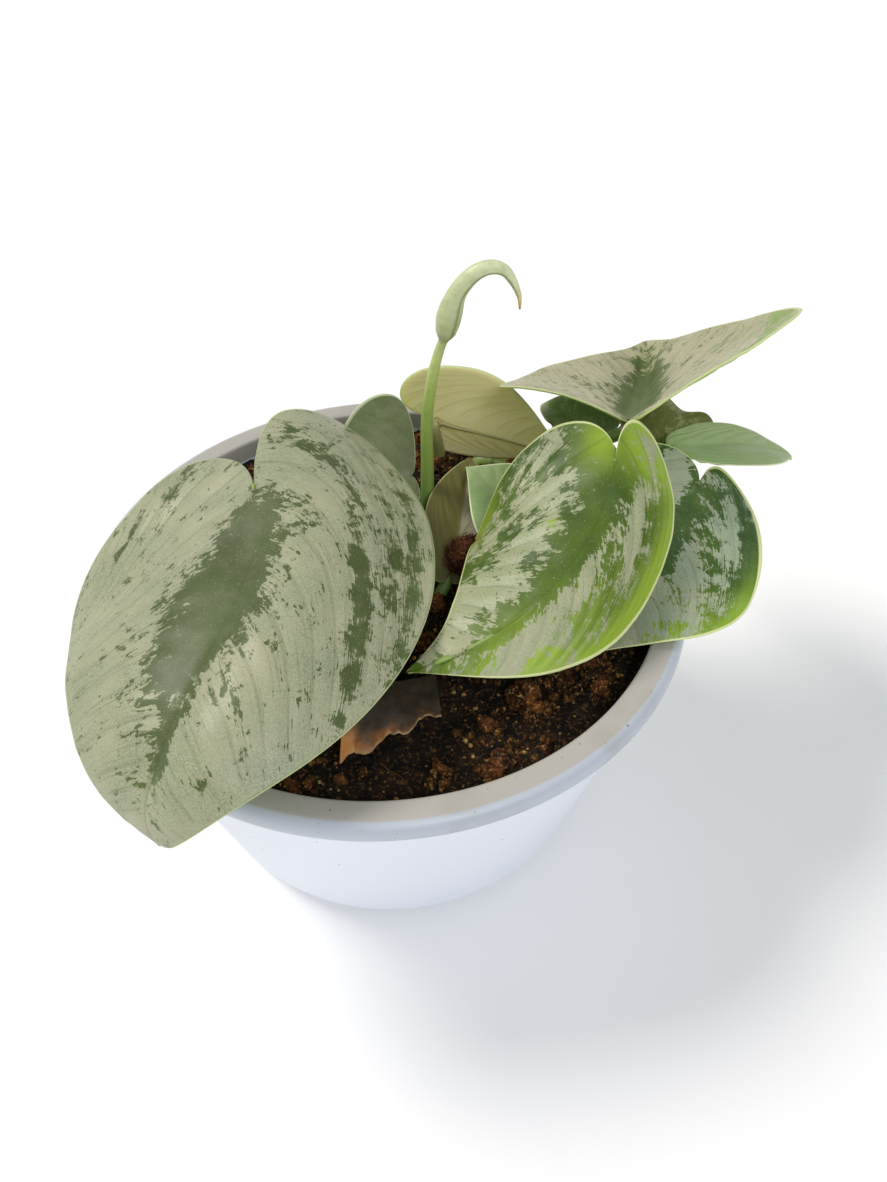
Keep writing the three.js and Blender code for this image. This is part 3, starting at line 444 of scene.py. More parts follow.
USUAL_LEAF = dict(
    hook=0, sweep=0, twist=0, cup=(0, 0), rim=(0, 0), wave=0, waves=0, lift=0.62, margin=0.6, wide_margin=[],
    spots=[], glow=[], nicks=[], stalk=green_stalk)
LEAVES = {
    "leaf_front_left": dict(
        base=(-38.6, 4, 137), heading=-85, drop=-1, roll=33, length=124, width=(59, 71),
        lobe=(0.34, 0.34), widest=0.19, tip_fill=0.9, bend=-26, hook=102, sweep=-63, twist=4,
        fold=(-7, 15), cup=(-106, -13), rim=(64, -17),
        foot=(-20, 42), approach=0.28, veins=9, skins=(silver_top, pale_under), slot="silver_leaf",
        silver=0.34, bright=0.1,
        spots=[(0.1, 0.0, 0.08, 0.16, -0.9), (0.27, -0.06, 0.12, 0.25, -0.95),
               (0.42, -0.02, 0.1, 0.2, -0.75), (0.55, -0.1, 0.11, 0.13, -0.8),
               (0.7, 0.0, 0.12, 0.07, -0.7), (0.8, 0.04, 0.06, 0.04, -0.5),
               (-0.14, 0.35, 0.05, 0.25, -0.35), (-0.03, 0.45, 0.025, 0.3, -0.5),
               (0.12, 0.3, 0.03, 0.12, -0.45), (0.22, 0.58, 0.06, 0.08, -0.6),
               (0.17, 0.76, 0.1, 0.07, -0.5), (0.36, 0.68, 0.07, 0.1, -0.6), (0.28, 0.9, 0.2, 0.06, -0.5),
               (0.05, 0.85, 0.12, 0.08, -0.35), (-0.2, -0.33, 0.05, 0.18, -0.45),
               (-0.12, -0.62, 0.04, 0.14, -0.45), (-0.22, -0.7, 0.04, 0.1, -0.3),
               (0.0, -0.93, 0.2, 0.08, -0.35), (0.5, 0.72, 0.08, 0.1, -0.35), (0.6, 0.3, 0.02, 0.12, -0.4)],
        glow=[(0.4, 0.97, 0.5, 0.07, 0.2), (0.95, 0.0, 0.15, 0.4, 0.3)], margin=0.5),
    "leaf_centre": dict(
        base=(72.5, -4.5, 145), heading=-107, drop=17, roll=-4, length=97, width=(28, 46.5),
        lobe=(0.26, 0.26), widest=0.33, tip_fill=0.46, bend=13, hook=3, sweep=-69, twist=13,
        fold=(-25, -12), cup=(-16, -36), rim=(-8, -16),
        foot=(68, 30), approach=0.34, lift=0.9, veins=8, skins=(splashed_top, pale_under),
        slot="splashed_leaf",
        silver=-0.12, bright=0.05,
        spots=[(0.3, 0.0, 0.45, 0.13, -0.8), (-0.08, -0.2, 0.08, 0.2, -0.5),
               (-0.05, -0.5, 0.05, 0.16, 0.4), (0.12, -0.4, 0.07, 0.15, 0.55),
               (0.22, -0.6, 0.06, 0.15, 0.35), (0.1, -0.75, 0.08, 0.1, 0.25),
               (0.4, -0.38, 0.09, 0.14, 0.55), (0.5, -0.7, 0.15, 0.1, 0.2), (0.66, -0.32, 0.12, 0.2, 0.7),
               (0.85, -0.15, 0.12, 0.3, 0.45), (0.12, 0.42, 0.07, 0.1, 0.55),
               (0.22, 0.5, 0.06, 0.12, 0.6), (0.38, 0.24, 0.05, 0.12, 0.6), (0.55, 0.28, 0.1, 0.14, 0.6),
               (0.72, 0.35, 0.1, 0.2, 0.5), (-0.06, 0.5, 0.04, 0.12, 0.35), (0.4, 0.9, 0.4, 0.15, -0.6),
               (0.2, -0.95, 0.4, 0.08, -0.3)],
        glow=[(-0.12, 0.5, 0.14, 0.5, 0.95), (0.3, 0.95, 0.5, 0.2, 0.9), (0.8, 0.6, 0.25, 0.5, 0.6),
              (0.5, -0.95, 0.5, 0.12, 0.5), (-0.1, -0.12, 0.12, 0.12, 0.45),
              (0.27, -0.3, 0.02, 0.04, 1.2), (0.6, 0.5, 0.25, 0.3, 0.4)],
        margin=1.1, wide_margin=[("l", 0.2, 0.35, 0.9)],
        nicks=[("r", 0.56, 0.05, 0.012)]),
    "leaf_right": dict(
        base=(106.6, 10.4, 121.5), heading=-116, drop=11.5, roll=-26, length=76.5, width=(30, 40),
        lobe=(0.23, 0.17), widest=0.42, tip_fill=0.34, bend=15, hook=-9, sweep=-25, twist=37,
        fold=(-9, 2), cup=(15, -25), rim=(5, -5),
        foot=(72, 2), approach=0.2, lift=0.75, veins=7, skins=(right_top, pale_under), slot="splashed_leaf",
        silver=-0.1, bright=0.0,
        spots=[(0.25, 0.0, 0.3, 0.1, -0.5), (0.0, -0.2, 0.14, 0.14, 0.8), (0.12, 0.55, 0.16, 0.14, 0.6),
               (0.42, 0.3, 0.14, 0.14, 0.6), (0.7, 0.15, 0.15, 0.25, 0.6), (0.6, 0.55, 0.08, 0.2, 0.3),
               (-0.12, 0.5, 0.1, 0.3, -0.5), (0.2, 0.9, 0.4, 0.12, -0.6), (0.3, -0.5, 0.2, 0.3, 0.3)],
        glow=[(0.75, 0.6, 0.22, 0.5, 0.8), (0.6, 0.95, 0.3, 0.12, 0.9), (0.9, 0.0, 0.2, 0.5, 0.6)],
        margin=0.7, wide_margin=[("l", 0.08, 0.22, 2.6)],
        nicks=[("l", 0.05, 0.25, 0.02)]),
    "leaf_top_right": dict(
        base=(83.2, 21.5, 142), heading=68, drop=29.5, roll=-8, length=105.7, width=(47.2, 61.8),
        lobe=(0.14, 0.14), widest=0.1, tip_fill=0.54, bend=-30, hook=8, sweep=2, twist=-5,
        fold=(29, 34), cup=(-29, -5), rim=(-12, 8),
        foot=(62, 38), approach=-0.2, lift=0.9, veins=9, skins=(wing_top, pale_under), slot="silver_leaf",
        silver=0.3, bright=0.1,
        spots=[(0.25, 0.0, 0.3, 0.16, -1.0), (0.6, -0.02, 0.3, 0.13, -0.6), (0.2, -0.9, 0.3, 0.16, -0.5),
               (0.4, -0.5, 0.1, 0.2, -0.2), (0.25, 0.3, 0.08, 0.3, -0.2), (0.6, 0.6, 0.1, 0.2, -0.1)],
        glow=[(0.3, -0.85, 0.5, 0.3, 0.8), (0.2, 0.95, 0.4, 0.1, 0.5), (0.2, -0.97, 0.4, 0.08, 0.7)],
        margin=0.9, wide_margin=[("r", -0.05, 0.25, 1.2), ("l", -0.05, 0.2, 0.8)]),
    "leaf_back": dict(
        base=(20.2, 64, 118.2), heading=-7, drop=14, roll=-89, length=55, width=(14, 26.5),
        lobe=(0.04, 0.28), widest=0.2, tip_fill=0.5, bend=10, sweep=1, twist=1, fold=(-1, -6),
        foot=(26, 67), approach=0.05, veins=7, skins=(silver_top, painted_backlight_under), stalk=olive_stalk,
        slot="leaf_underside",
        silver=0.2, bright=0.1, spots=[(0.3, 0.0, 0.3, 0.2, -0.5)]),
    "leaf_back_left": dict(
        base=(12, 49.5, 102.5), heading=199, drop=-6, roll=-44, length=34, width=(16, 34),
        lobe=(0.05, 0.1), widest=0.27, tip_fill=0.5, bend=20,
        fold=(22, 18), cup=(19, 33), rim=(3, 3),
        foot=(12, 46), approach=0.1, veins=6, skins=(cupped_top, pale_under), slot="splashed_leaf",
        silver=0.0, bright=0.45, margin=0.9, wide_margin=[("r", 0.5, 0.3, 0.8)],
        spots=[(0.2, -0.3, 0.2, 0.25, 0.3)]),
    "leaf_low_centre": dict(
        base=(21.5, -3, 102), heading=75, drop=-18, roll=0, length=47, width=(12, 10),
        lobe=(0.12, 0.12), widest=0.5, tip_fill=0.8, bend=0, fold=(8, 8),
        foot=(9, -14), approach=0.2, veins=6, skins=(olive_and_painted_shade_top, pale_under), slot="old_leaf",
        silver=-1.0, bright=-0.1),
    "leaf_small_centre": dict(
        base=(59, 11, 105), heading=140, drop=-23, roll=0, length=38, width=(21, 17),
        lobe=(0.15, 0.15), widest=0.4, tip_fill=0.6, bend=4, sweep=6,
        fold=(0, 6), cup=(-16, 0),
        foot=(64, 4), approach=0.2, veins=6, skins=(pale_top, pale_under), slot="pale_leaf",
        silver=-0.1, bright=0.1),
    "leaf_pale_right": dict(
        base=(103, 32, 122), heading=14, drop=1, roll=0, length=63, width=(11, 18),
        lobe=(0.02, 0.02), widest=0.36, tip_fill=0.5, bend=34, hook=20, sweep=3, twist=10,
        fold=(3, 10), cup=(-12, -6),
        foot=(78, 13), approach=0.28, lift=0.8, veins=6, skins=(pale_top, pale_under), slot="pale_leaf",
        silver=0.0, bright=0.2),
    "leaf_old_right": dict(
        base=(95.5, 42, 114.4), heading=11, drop=-14, roll=-3, length=38, width=(20, 10),
        lobe=(0.16, 0.1), widest=0.28, tip_fill=0.5, bend=39,
        fold=(12, 0), cup=(6, 0), wave=2, waves=4,
        foot=(58, 46), approach=0.26, lift=0.88, veins=6, skins=(old_top, pale_under), slot="old_leaf",
        silver=-0.1, bright=0.0, nicks=[("l", 0.3, 0.15, 0.02), ("l", 0.5, 0.12, 0.02)]),
    "leaf_back_right": dict(
        base=(79, 44.5, 118), heading=125, drop=-18, roll=0, length=28, width=(12, 17),
        lobe=(0.15, 0.1), widest=0.3, tip_fill=0.8, bend=27, hook=14, sweep=2,
        fold=(9, 12), cup=(4, 0),
        foot=(76, 23), approach=0.2, lift=0.8, veins=6, skins=(back_top, pale_under), slot="pale_leaf",
        silver=0.0, bright=0.3, nicks=[("l", 0.6, 0.06, 0.03)]),
}
for leaf_name, values in LEAVES.items():
    leaf = {**USUAL_LEAF, **values}
    for key in ("width", "lobe", "fold", "cup", "rim"):
        leaf[key] = dict(zip("lr", leaf[key]))
    LEAVES[leaf_name] = leaf
print(len(LEAVES), "leaves")

# %% [markdown]
# ## The shape of a blade
#
# A heart-shaped half outline is two Bezier curves: from the notch round the lobe to the widest place, and
# from there to the tip. Side veins leave the notch and the midrib and curve towards the tip, and the mesh
# has one row of points along each of them. The rows are bent over the midrib's frames, which are walked
# in short steps, and each half turns up or down by an angle that grows with the distance.

# %% Outline, midrib and surface of a blade
def bezier(p0, p1, p2, p3, t):
    u = 1 - t
    return u ** 3 * p0 + 3 * u * u * t * p1 + 3 * u * t * t * p2 + t ** 3 * p3


def outline(leaf, side, share):
    w, length = leaf["width"][side], leaf["length"]
    lobe, wide = leaf["lobe"][side] * length, leaf["widest"] * length
    rest = length - wide
    t = np.clip(share / 0.5, 0, 1)
    s = np.clip((share - 0.5) / 0.5, 0, 1)
    round_lobe = (bezier(0, -1.25 * lobe - 0.02 * length, -1.05 * lobe, wide, t),
                  bezier(0, 0.02 * w, w, w, t))
    on_to_tip = (bezier(wide, wide + 0.45 * rest, length - (0.55 - 0.5 * leaf["tip_fill"]) * rest, length, s),
                 bezier(w, w, 0.5 * w * leaf["tip_fill"], 0, s))
    return [np.where(share <= 0.5, a, b) for a, b in zip(round_lobe, on_to_tip)]


def turned(vectors, axis, angle):
    """Vectors turned about an axis by an angle in radians."""
    cos, sin = math.cos(angle), math.sin(angle)
    return [v * cos + np.cross(axis, v) * sin + axis * axis.dot(v) * (1 - cos) for v in vectors]


def midrib_frames(leaf):
    """Distances along the midrib, and at each of them its point, the way ahead, left and up."""
    heading, drop, roll_angle = (math.radians(leaf[key]) for key in ("heading", "drop", "roll"))
    along = np.array([math.cos(heading) * math.cos(drop),
                      math.sin(heading) * math.cos(drop), -math.sin(drop)])
    left = np.array([-math.sin(heading), math.cos(heading), 0.0])
    left, upward = turned([left, np.cross(along, left)], along, roll_angle)
    start = (0.0, np.array(leaf["base"], float), along, left, upward)
    steps = 24
    walked = []
    for sign, reach in ((-1, 0.55), (1, 1.001)):
        _, point, along, left, upward = start
        step = sign * reach * leaf["length"] / steps
        rows = []
        for i in range(steps):
            share = (i + 0.5) * step / leaf["length"]
            turn = math.radians(1) * step / leaf["length"]
            before = along
            pitch = (leaf["bend"] + leaf["hook"] * 4 * max(share, 0) ** 3) * turn
            along, upward = turned([along, upward], left, pitch)
            along, left = turned([along, left], upward, leaf["sweep"] * turn)
            left, upward = turned([left, upward], along, leaf["twist"] * turn)
            point = point + 0.5 * (before + along) * step
            rows.append(((i + 1) * step, point, along, left, upward))
        walked.append(rows)
    return walked[0][::-1] + [start] + walked[1]


def at_distance(frames, distance):
    xs = np.array([row[0] for row in frames])
    return [np.stack([np.interp(distance, xs, [row[k][axis] for row in frames]) for axis in range(3)], -1)
            for k in (1, 2, 3, 4)]


def half_blade(leaf, frames, side, rows, columns):
    """Points of one half, one row along each side vein, with the flat plan that they come from."""
    share = np.linspace(0, 1, rows + 1)
    across = np.linspace(0, 1, columns + 1) ** 0.85
    edge_x, edge_y = outline(leaf, side, share)
    root = leaf["length"] * np.clip((share - VEIN_FAN) / (1 - VEIN_FAN), 0, 1)
    for nick_side, nick_at, depth, width in leaf["nicks"]:
        if nick_side == side:
            cut = depth * np.exp(-((share - nick_at) / width) ** 2)
            edge_x = edge_x + cut * (root - edge_x)
            edge_y = edge_y * (1 - cut)
    t = across[None, :]
    bend_x = root + 0.2 * (edge_x - root)
    x = (1 - t) ** 2 * root[:, None] + 2 * (1 - t) * t * bend_x[:, None] + t * t * edge_x[:, None]
    y = 2 * (1 - t) * t * 0.68 * edge_y[:, None] + t * t * edge_y[:, None]
    out, lift = np.zeros_like(y), np.zeros_like(y)
    steps = 10
    for i in range(steps):
        q = y * (i + 0.5) / steps / leaf["width"][side]
        slope = leaf["fold"][side] + leaf["cup"][side] * q + leaf["rim"][side] * np.clip(q, 0, 1.3) ** 4
        out += np.cos(np.radians(slope)) * y / steps
        lift += np.sin(np.radians(slope)) * y / steps
    phase = 0.37 if side == "r" else 0
    lift += leaf["wave"] * np.sin(2 * math.pi * (leaf["waves"] * share[:, None] + phase)) * t * t
    point, _, left, upward = at_distance(frames, x)
    hand = 1 if side == "l" else -1
    points = point + hand * out[..., None] * left + lift[..., None] * upward
    plan = dict(x=x, y=hand * y, share=np.broadcast_to(share[:, None], x.shape),
                across=np.broadcast_to(t, x.shape))
    return points, plan


# %% [markdown]
# ## Relief and markings on a blade
#
# The upper side isn't flat: the midrib and the side veins lie in shallow grooves, the tissue swells a
# little between them, and the blade is gently uneven. That is real geometry, because light from the side
# shows it. The same plan gives the attributes that the finishes read.

# %% One blade as a single-sided mesh with its attributes
GROOVE = 0.5
VEIN_GROOVE = 0.16
SWELL = 0.4
UNEVEN = 1.1
VALLEY = 2.6
VALLEY_REACH = 11.0


def vein_root(x, y):
    """Where the side vein through a place leaves the midrib: veins curve more and more towards the tip."""
    return x - 0.25 * np.abs(y) - 0.75 * np.abs(y) ** 3


def spots_at(spots, x, y, along_veins=True):
    total = np.zeros_like(x)
    for at_x, at_y, reach_x, reach_y, amount in spots:
        off = vein_root(x, y) - vein_root(at_x, at_y) if along_veins else x - at_x
        total += amount * np.exp(-(off / reach_x) ** 2 - ((y - at_y) / reach_y) ** 2)
    return total


def to_tip(x):
    """One along the blade, and down to zero at its tip."""
    return 1 - smooth_step(0.72, 0.98, x)


def vein_valley(leaf, root, width):
    """1 on a side vein, falling to 0 at a share of the spacing away."""
    phase = root * leaf["veins"]
    return np.exp(-((phase - np.round(phase)) / width) ** 2)


def margin_width(leaf, x, y):
    """Width of the pale margin line, with the places where it is wider."""
    width = np.full_like(x, leaf["margin"])
    for side, at, reach, extra in leaf["wide_margin"]:
        on_side = y >= 0 if side == "l" else y <= 0
        width += on_side * extra * np.exp(-((x - at) / reach) ** 2)
    return width


def blade(name, leaf, frames, rows, columns):
    points, plans, index = [], [], {}
    count = 0
    for side in "lr":
        grid, plan = half_blade(leaf, frames, side, rows, columns)
        ids = np.arange(grid[..., 0].size).reshape(grid.shape[:2]) + count
        count += ids.size
        index[side] = ids
        points.append(grid.reshape(-1, 3))
        plans.append({key: value.ravel() for key, value in plan.items()})
    points = np.concatenate(points)
    plan = {key: np.concatenate([p[key] for p in plans]) for key in plans[0]}
    notch, tip = index["l"][0, 0], index["l"][-1, 0]
    same = np.arange(count)
    fan_rows = int(VEIN_FAN * rows) + 1
    for side in "lr":
        same[index[side][:, 0]] = index["l"][:, 0]
        same[index[side][:fan_rows, 0]] = notch
        same[index[side][0, :]] = notch
        same[index[side][-1, :]] = tip
    faces = []
    for side in "lr":
        ids = same[index[side]]
        for i in range(rows):
            for j in range(columns):
                corners = [ids[i, j], ids[i + 1, j], ids[i + 1, j + 1], ids[i, j + 1]]
                corners = list(dict.fromkeys(int(c) for c in corners))
                if len(corners) > 2:
                    faces.append(corners if side == "l" else corners[::-1])
    used = np.unique(np.concatenate([np.array(f) for f in faces]))
    renumber = np.zeros(count, int)
    renumber[used] = np.arange(used.size)
    faces = [[int(renumber[c]) for c in face] for face in faces]
    points = points[used]
    plan = {key: value[used] for key, value in plan.items()}

    length = leaf["length"]
    wide = np.where(plan["y"] >= 0, leaf["width"]["l"], leaf["width"]["r"])
    x, y = plan["x"] / length, plan["y"] / wide
    off_rib = np.abs(plan["y"])
    fade = smooth_step(0.0, 0.25, plan["across"]) * (1 - smooth_step(0.75, 1.0, plan["across"]))
    root = vein_root(x, y)
    valley = vein_valley(leaf, root, 0.07)
    rib = np.exp(-(off_rib / 1.3) ** 2) * smooth_step(0.02, 0.12, x)
    size = min(1, length / 90)
    relief = -GROOVE * rib * size * to_tip(x) - VEIN_GROOVE * valley * fade
    relief += SWELL * (1 - vein_valley(leaf, root, 0.35)) * fade * size
    beside_rib = np.exp(-(off_rib / (VALLEY_REACH * size)) ** 2)
    relief -= VALLEY * beside_rib * smooth_step(0.02, 0.2, x) * to_tip(x) * size
    relief += UNEVEN * rough(points, 26, length) * smooth_step(0.1, 0.9, plan["across"]) * size
    relief += 0.3 * UNEVEN * rough(points, 9, length + 1) * size
    vein_length = np.hypot(off_rib, 0.3 * length) + 1e-6
    sheet = bpy.data.meshes.new("flat")
    sheet.from_pydata(points.tolist(), [], faces)
    normals = np.array([normal.vector for normal in sheet.vertex_normals])
    bpy.data.meshes.remove(sheet)
    points = points + normals * relief[:, None]
    from_edge = (1 - plan["across"]) * vein_length
    hurt = np.zeros_like(x)
    for nick_side, nick_at, depth, width in leaf["nicks"]:
        on_side = plan["y"] >= 0 if nick_side == "l" else plan["y"] <= 0
        near = np.exp(-((plan["share"] - nick_at) / (1.6 * width)) ** 2)
        near *= smooth_step(0.86, 0.97, plan["across"])
        hurt += near * on_side
    along_vein = np.hypot(off_rib, (x - root) * length)
    attributes = {
        "vein_map": np.stack([root * length, along_vein, np.where(plan["y"] >= 0, 0, 40.0)], -1),
        "silver": leaf["silver"] + spots_at(leaf["spots"], x, y),
        "bright": leaf["bright"] + spots_at(leaf["glow"], x, y, along_veins=False),
        "vein_phase": root * leaf["veins"],
        "vein_fade": fade,
        "edge": from_edge / margin_width(leaf, x, plan["y"]),
        "brown": np.clip(hurt, 0, 1),
    }
    piece = new_object(name, points, faces, leaf["skins"], attributes)
    weights = 0.45 + 0.55 * smooth_step(0, 2.5, from_edge)
    group = piece.vertex_groups.new(name="thick")
    for i, weight in enumerate(weights):
        group.add([i], float(weight), "REPLACE")
    solidify = piece.modifiers.new("thickness", "SOLIDIFY")
    solidify.thickness = LEAF_THICK * MM
    solidify.offset = -1
    solidify.vertex_group = "thick"
    solidify.use_even_offset = False
    solidify.material_offset = 1
    apply_modifiers(piece)
    piece.vertex_groups.clear()
    return piece


# %% [markdown]
# ## Stalks
#
# A stalk leaves the potting mix straight up, swings round and meets the blade from below. It goes on
# under the blade as the midrib and gets thinner towards the tip. A tube follows the same curve as the
# solid, and its rings never twist, because each one is turned from the last by the smallest angle.

# %% Tubes and stalks
def tube(name, path, radii, sides, materials, outline_at=None):
    """A closed tube along points in millimetres, with a radius at each."""
    path = np.asarray(path, float)
    tangents = np.gradient(path, axis=0)
    tangents /= np.linalg.norm(tangents, axis=1)[:, None]
    side = np.cross(tangents[0], [0.0, 1.0, 0.1])
    side /= np.linalg.norm(side)
    angles = 2 * math.pi * np.arange(sides) / sides
    rings = []
    for i, (point, tangent) in enumerate(zip(path, tangents)):
        side = side - tangent * side.dot(tangent)
        side /= np.linalg.norm(side)
        other = np.cross(tangent, side)
        share = i / (len(path) - 1)
        shape = np.ones(sides) if outline_at is None else outline_at(share, angles)
        ring = radii[i] * shape[:, None] * (np.cos(angles)[:, None] * side + np.sin(angles)[:, None] * other)
        rings.append(point + ring)
    points = np.concatenate(rings + [path[:1], path[-1:]])
    first, last = len(points) - 2, len(points) - 1
    faces = []
    for i in range(len(path) - 1):
        for j in range(sides):
            k = (j + 1) % sides
            faces.append([i * sides + j, i * sides + k, (i + 1) * sides + k, (i + 1) * sides + j])
    for j in range(sides):
        k = (j + 1) % sides
        faces.append([first, k, j])
        faces.append([last, (len(path) - 1) * sides + j, (len(path) - 1) * sides + k])
    share = np.repeat(np.linspace(0, 1, len(path)), sides)
    share = np.concatenate([share, [0, 1]])
    return new_object(name, points, faces, materials, {"along": share})


def stalk_path(leaf, frames):
    """The stalk's curve up to the blade, then the line of the midrib under the blade, with radii."""
    _, base, along, _, upward = frames[[row[0] for row in frames].index(0.0)]
    foot = np.array([*leaf["foot"], SOIL_LEVEL - STALK_DEPTH])
    head = base + 3 * along - (LEAF_THICK + 0.6 * STALK_TOP) * upward
    rise = head[2] - foot[2]
    control = [foot, foot + [0, 0, leaf["lift"] * rise],
               head - leaf["approach"] * rise * along - 0.12 * rise * upward, head]
    t = np.linspace(0, 0.97, 30)[:, None]
    path = list(bezier(*control, t))
    radii = list(STALK_FOOT + (STALK_TOP - STALK_FOOT) * t[:, 0])
    for distance in np.linspace(6, 0.86 * leaf["length"], 26):
        point, _, _, lifted = at_distance(frames, distance)
        share = distance / leaf["length"]
        radius = (0.75 + 1.15 * math.exp(-9 * share)) * (1 - share) ** 0.6 * min(1, leaf["length"] / 70)
        size = min(1, leaf["length"] / 90)
        sunk = GROOVE * float(smooth_step(0.02, 0.12, share)) + VALLEY * float(smooth_step(0.02, 0.2, share))
        sunk *= float(to_tip(share)) * size
        path.append(point - (0.75 + sunk + 0.75 * radius) * lifted)
        radii.append(radius)
    return np.array(path), np.array(radii)


def stalk_outline(share, angles):
    """A stalk isn't quite round: it is channelled on one side."""
    return 1 - 0.16 * np.exp(-((angles - math.pi) / 0.5) ** 2)


def grow_leaf(name, leaf):
    frames = midrib_frames(leaf)
    rows, columns = LARGE_GRID if leaf["length"] > LARGE_LEAF else SMALL_GRID
    piece = blade(name + "_blade", leaf, frames, rows, columns)
    path, radii = stalk_path(leaf, frames)
    stalk = tube(name + "_stalk", path, radii, STALK_SIDES, [leaf["stalk"]], stalk_outline)
    join(piece, stalk)
    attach(piece, "root")
    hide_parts(name)
    return piece


for leaf_name, leaf_values in LEAVES.items():
    grown = grow_leaf(leaf_name, leaf_values)
    print(leaf_name, len(grown.data.polygons), "faces")

# %% [markdown]
# ## The new leaf
#
# A new leaf comes up rolled like a paper cone. Its stalk narrows to a neck, the roll swells above it and
# arches over to a fine tip that has dried orange. The roll's section is a spiral: its radius grows once
# round and steps down at the seam, so the free edge of the blade shows as a line along the roll.

# %% The rolled leaf
NEW_LEAF_ROUTE = [
    (14, 27, 74), (15.5, 29, 90), (16.5, 30, 105), (17, 30, 122), (17.3, 30, 141), (19.3, 30, 156),
    (21.3, 30, 165), (24, 30, 173), (25.6, 30, 180), (28, 30, 186.5), (32.4, 30, 191.5), (37.2, 30, 193.4),
    (41.4, 30, 192.2), (44.3, 30, 188.2), (46.2, 30, 183.6), (46.6, 30, 179.4)]
NEW_LEAF_RADII = [
    (0, 2.6), (0.3, 2.3), (0.6, 1.7), (0.67, 1.45), (0.69, 3.3), (0.72, 4.0), (0.745, 3.85), (0.78, 3.0),
    (0.83, 2.6), (0.88, 2.2), (0.93, 1.4), (0.97, 0.8), (1, 0.3)]
ROLL_FROM = 0.675
ROLL_STEP = 0.22
SEAM_ANGLE = 2.05


def smooth_path(points, count):
    """A smooth curve through points, sampled at even distances."""
    points = np.asarray(points, float)
    padded = np.vstack([2 * points[0] - points[1], points, 2 * points[-1] - points[-2]])
    fine = []
    for i in range(len(points) - 1):
        p0, p1, p2, p3 = padded[i:i + 4]
        t = np.linspace(0, 1, 12, endpoint=False)[:, None]
        fine.append(0.5 * (2 * p1 + (p2 - p0) * t + (2 * p0 - 5 * p1 + 4 * p2 - p3) * t ** 2
                           + (3 * p1 - p0 - 3 * p2 + p3) * t ** 3))
    fine = np.vstack([*fine, points[-1:]])
    distance = np.concatenate([[0], np.cumsum(np.linalg.norm(np.diff(fine, axis=0), axis=1))])
    even = np.linspace(0, distance[-1], count)
    return np.stack([np.interp(even, distance, fine[:, k]) for k in range(3)], -1)


def roll_outline(share, angles):
    if share <= ROLL_FROM:
        return np.ones(len(angles))
    seam = ((angles - SEAM_ANGLE) / (2 * math.pi)) % 1
    return 1 - ROLL_STEP * (0.5 - seam)


# The smooth skin of a leaf still rolled, from green at the foot to the dried orange tip.
new_leaf_skin, tree, shader = new_material(
    "new leaf skin", Roughness=0.42, Subsurface_Weight=0.2, Subsurface_Scale=1.0)
shader.inputs["Subsurface Radius"].default_value = (0.001, 0.0015, 0.0005)
along = add(tree, "Attribute", {"attribute_name": "along"}).outputs["Fac"]
ramp = add(tree, "ValToRGB", inputs={0: along})
stops = [(0.0, "#6d9460"), (0.25, "#7f9c4c"), (0.5, "#9db455"), (0.62, "#bccb78"), (0.68, "#b3bd8a"),
         (0.8, "#c5cd9f"), (0.93, "#d6deb4"), (0.975, "#dccb92"), (1.0, "#c98a3f")]
fill_ramp(ramp, stops)
place = add(tree, "TexCoord").outputs["Object"]
mottle = add(tree, "TexNoise", inputs={
    "Vector": place, "Scale": 1 / (2.2 * MM), "Detail": 4.0, "Roughness": 0.6})
fleck = add(tree, "MapRange", inputs={"Value": mottle, "From Min": 0.45, "From Max": 0.7, "To Max": 0.3})
seam = add(tree, "Attribute", {"attribute_name": "seam"}).outputs["Fac"]
seamed = paint(tree, ramp, (fleck, "#7c8f5c"), (seam, "#5d7442"))
cover(tree, shader, seamed)

STEPS, ROUND = 150, 48
path = smooth_path(NEW_LEAF_ROUTE, STEPS)
radii = np.interp(np.linspace(0, 1, STEPS), *zip(*NEW_LEAF_RADII))
new_leaf = tube("new_leaf_roll", path, radii, ROUND, [new_leaf_skin], roll_outline)
angles = 2 * math.pi * np.arange(ROUND) / ROUND
from_seam = (angles - SEAM_ANGLE + math.pi) % (2 * math.pi) - math.pi
shares = np.linspace(0, 1, STEPS)
on_roll = smooth_step(ROLL_FROM, ROLL_FROM + 0.02, shares) * (shares < 0.97)
seam_line = 0.75 * on_roll[:, None] * np.exp(-((from_seam + 0.12) / 0.16) ** 2)[None, :]
layer = new_leaf.data.attributes.new("seam", "FLOAT", "POINT")
layer.data.foreach_set("value", np.concatenate([seam_line.ravel(), [0, 0]]))
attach(new_leaf, "root")
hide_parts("new_leaf")
print("new leaf", len(new_leaf.data.polygons), "faces")

# %% [markdown]
# ## The creeping stem
#
# The plant creeps: its stem arches over the mix and roots again. It is thicker at each joint, where a
# leaf once grew, and a pale ring runs round it there.

# %% Two lengths of vine
VINES = {
    "vine_left": dict(start=(-36, 52), end=(2, 68), rise=13, radius=3.4),
    "vine_right": dict(start=(34, 66), end=(54, 60), rise=6, radius=3.2),
}
VINE_SIDES = 24
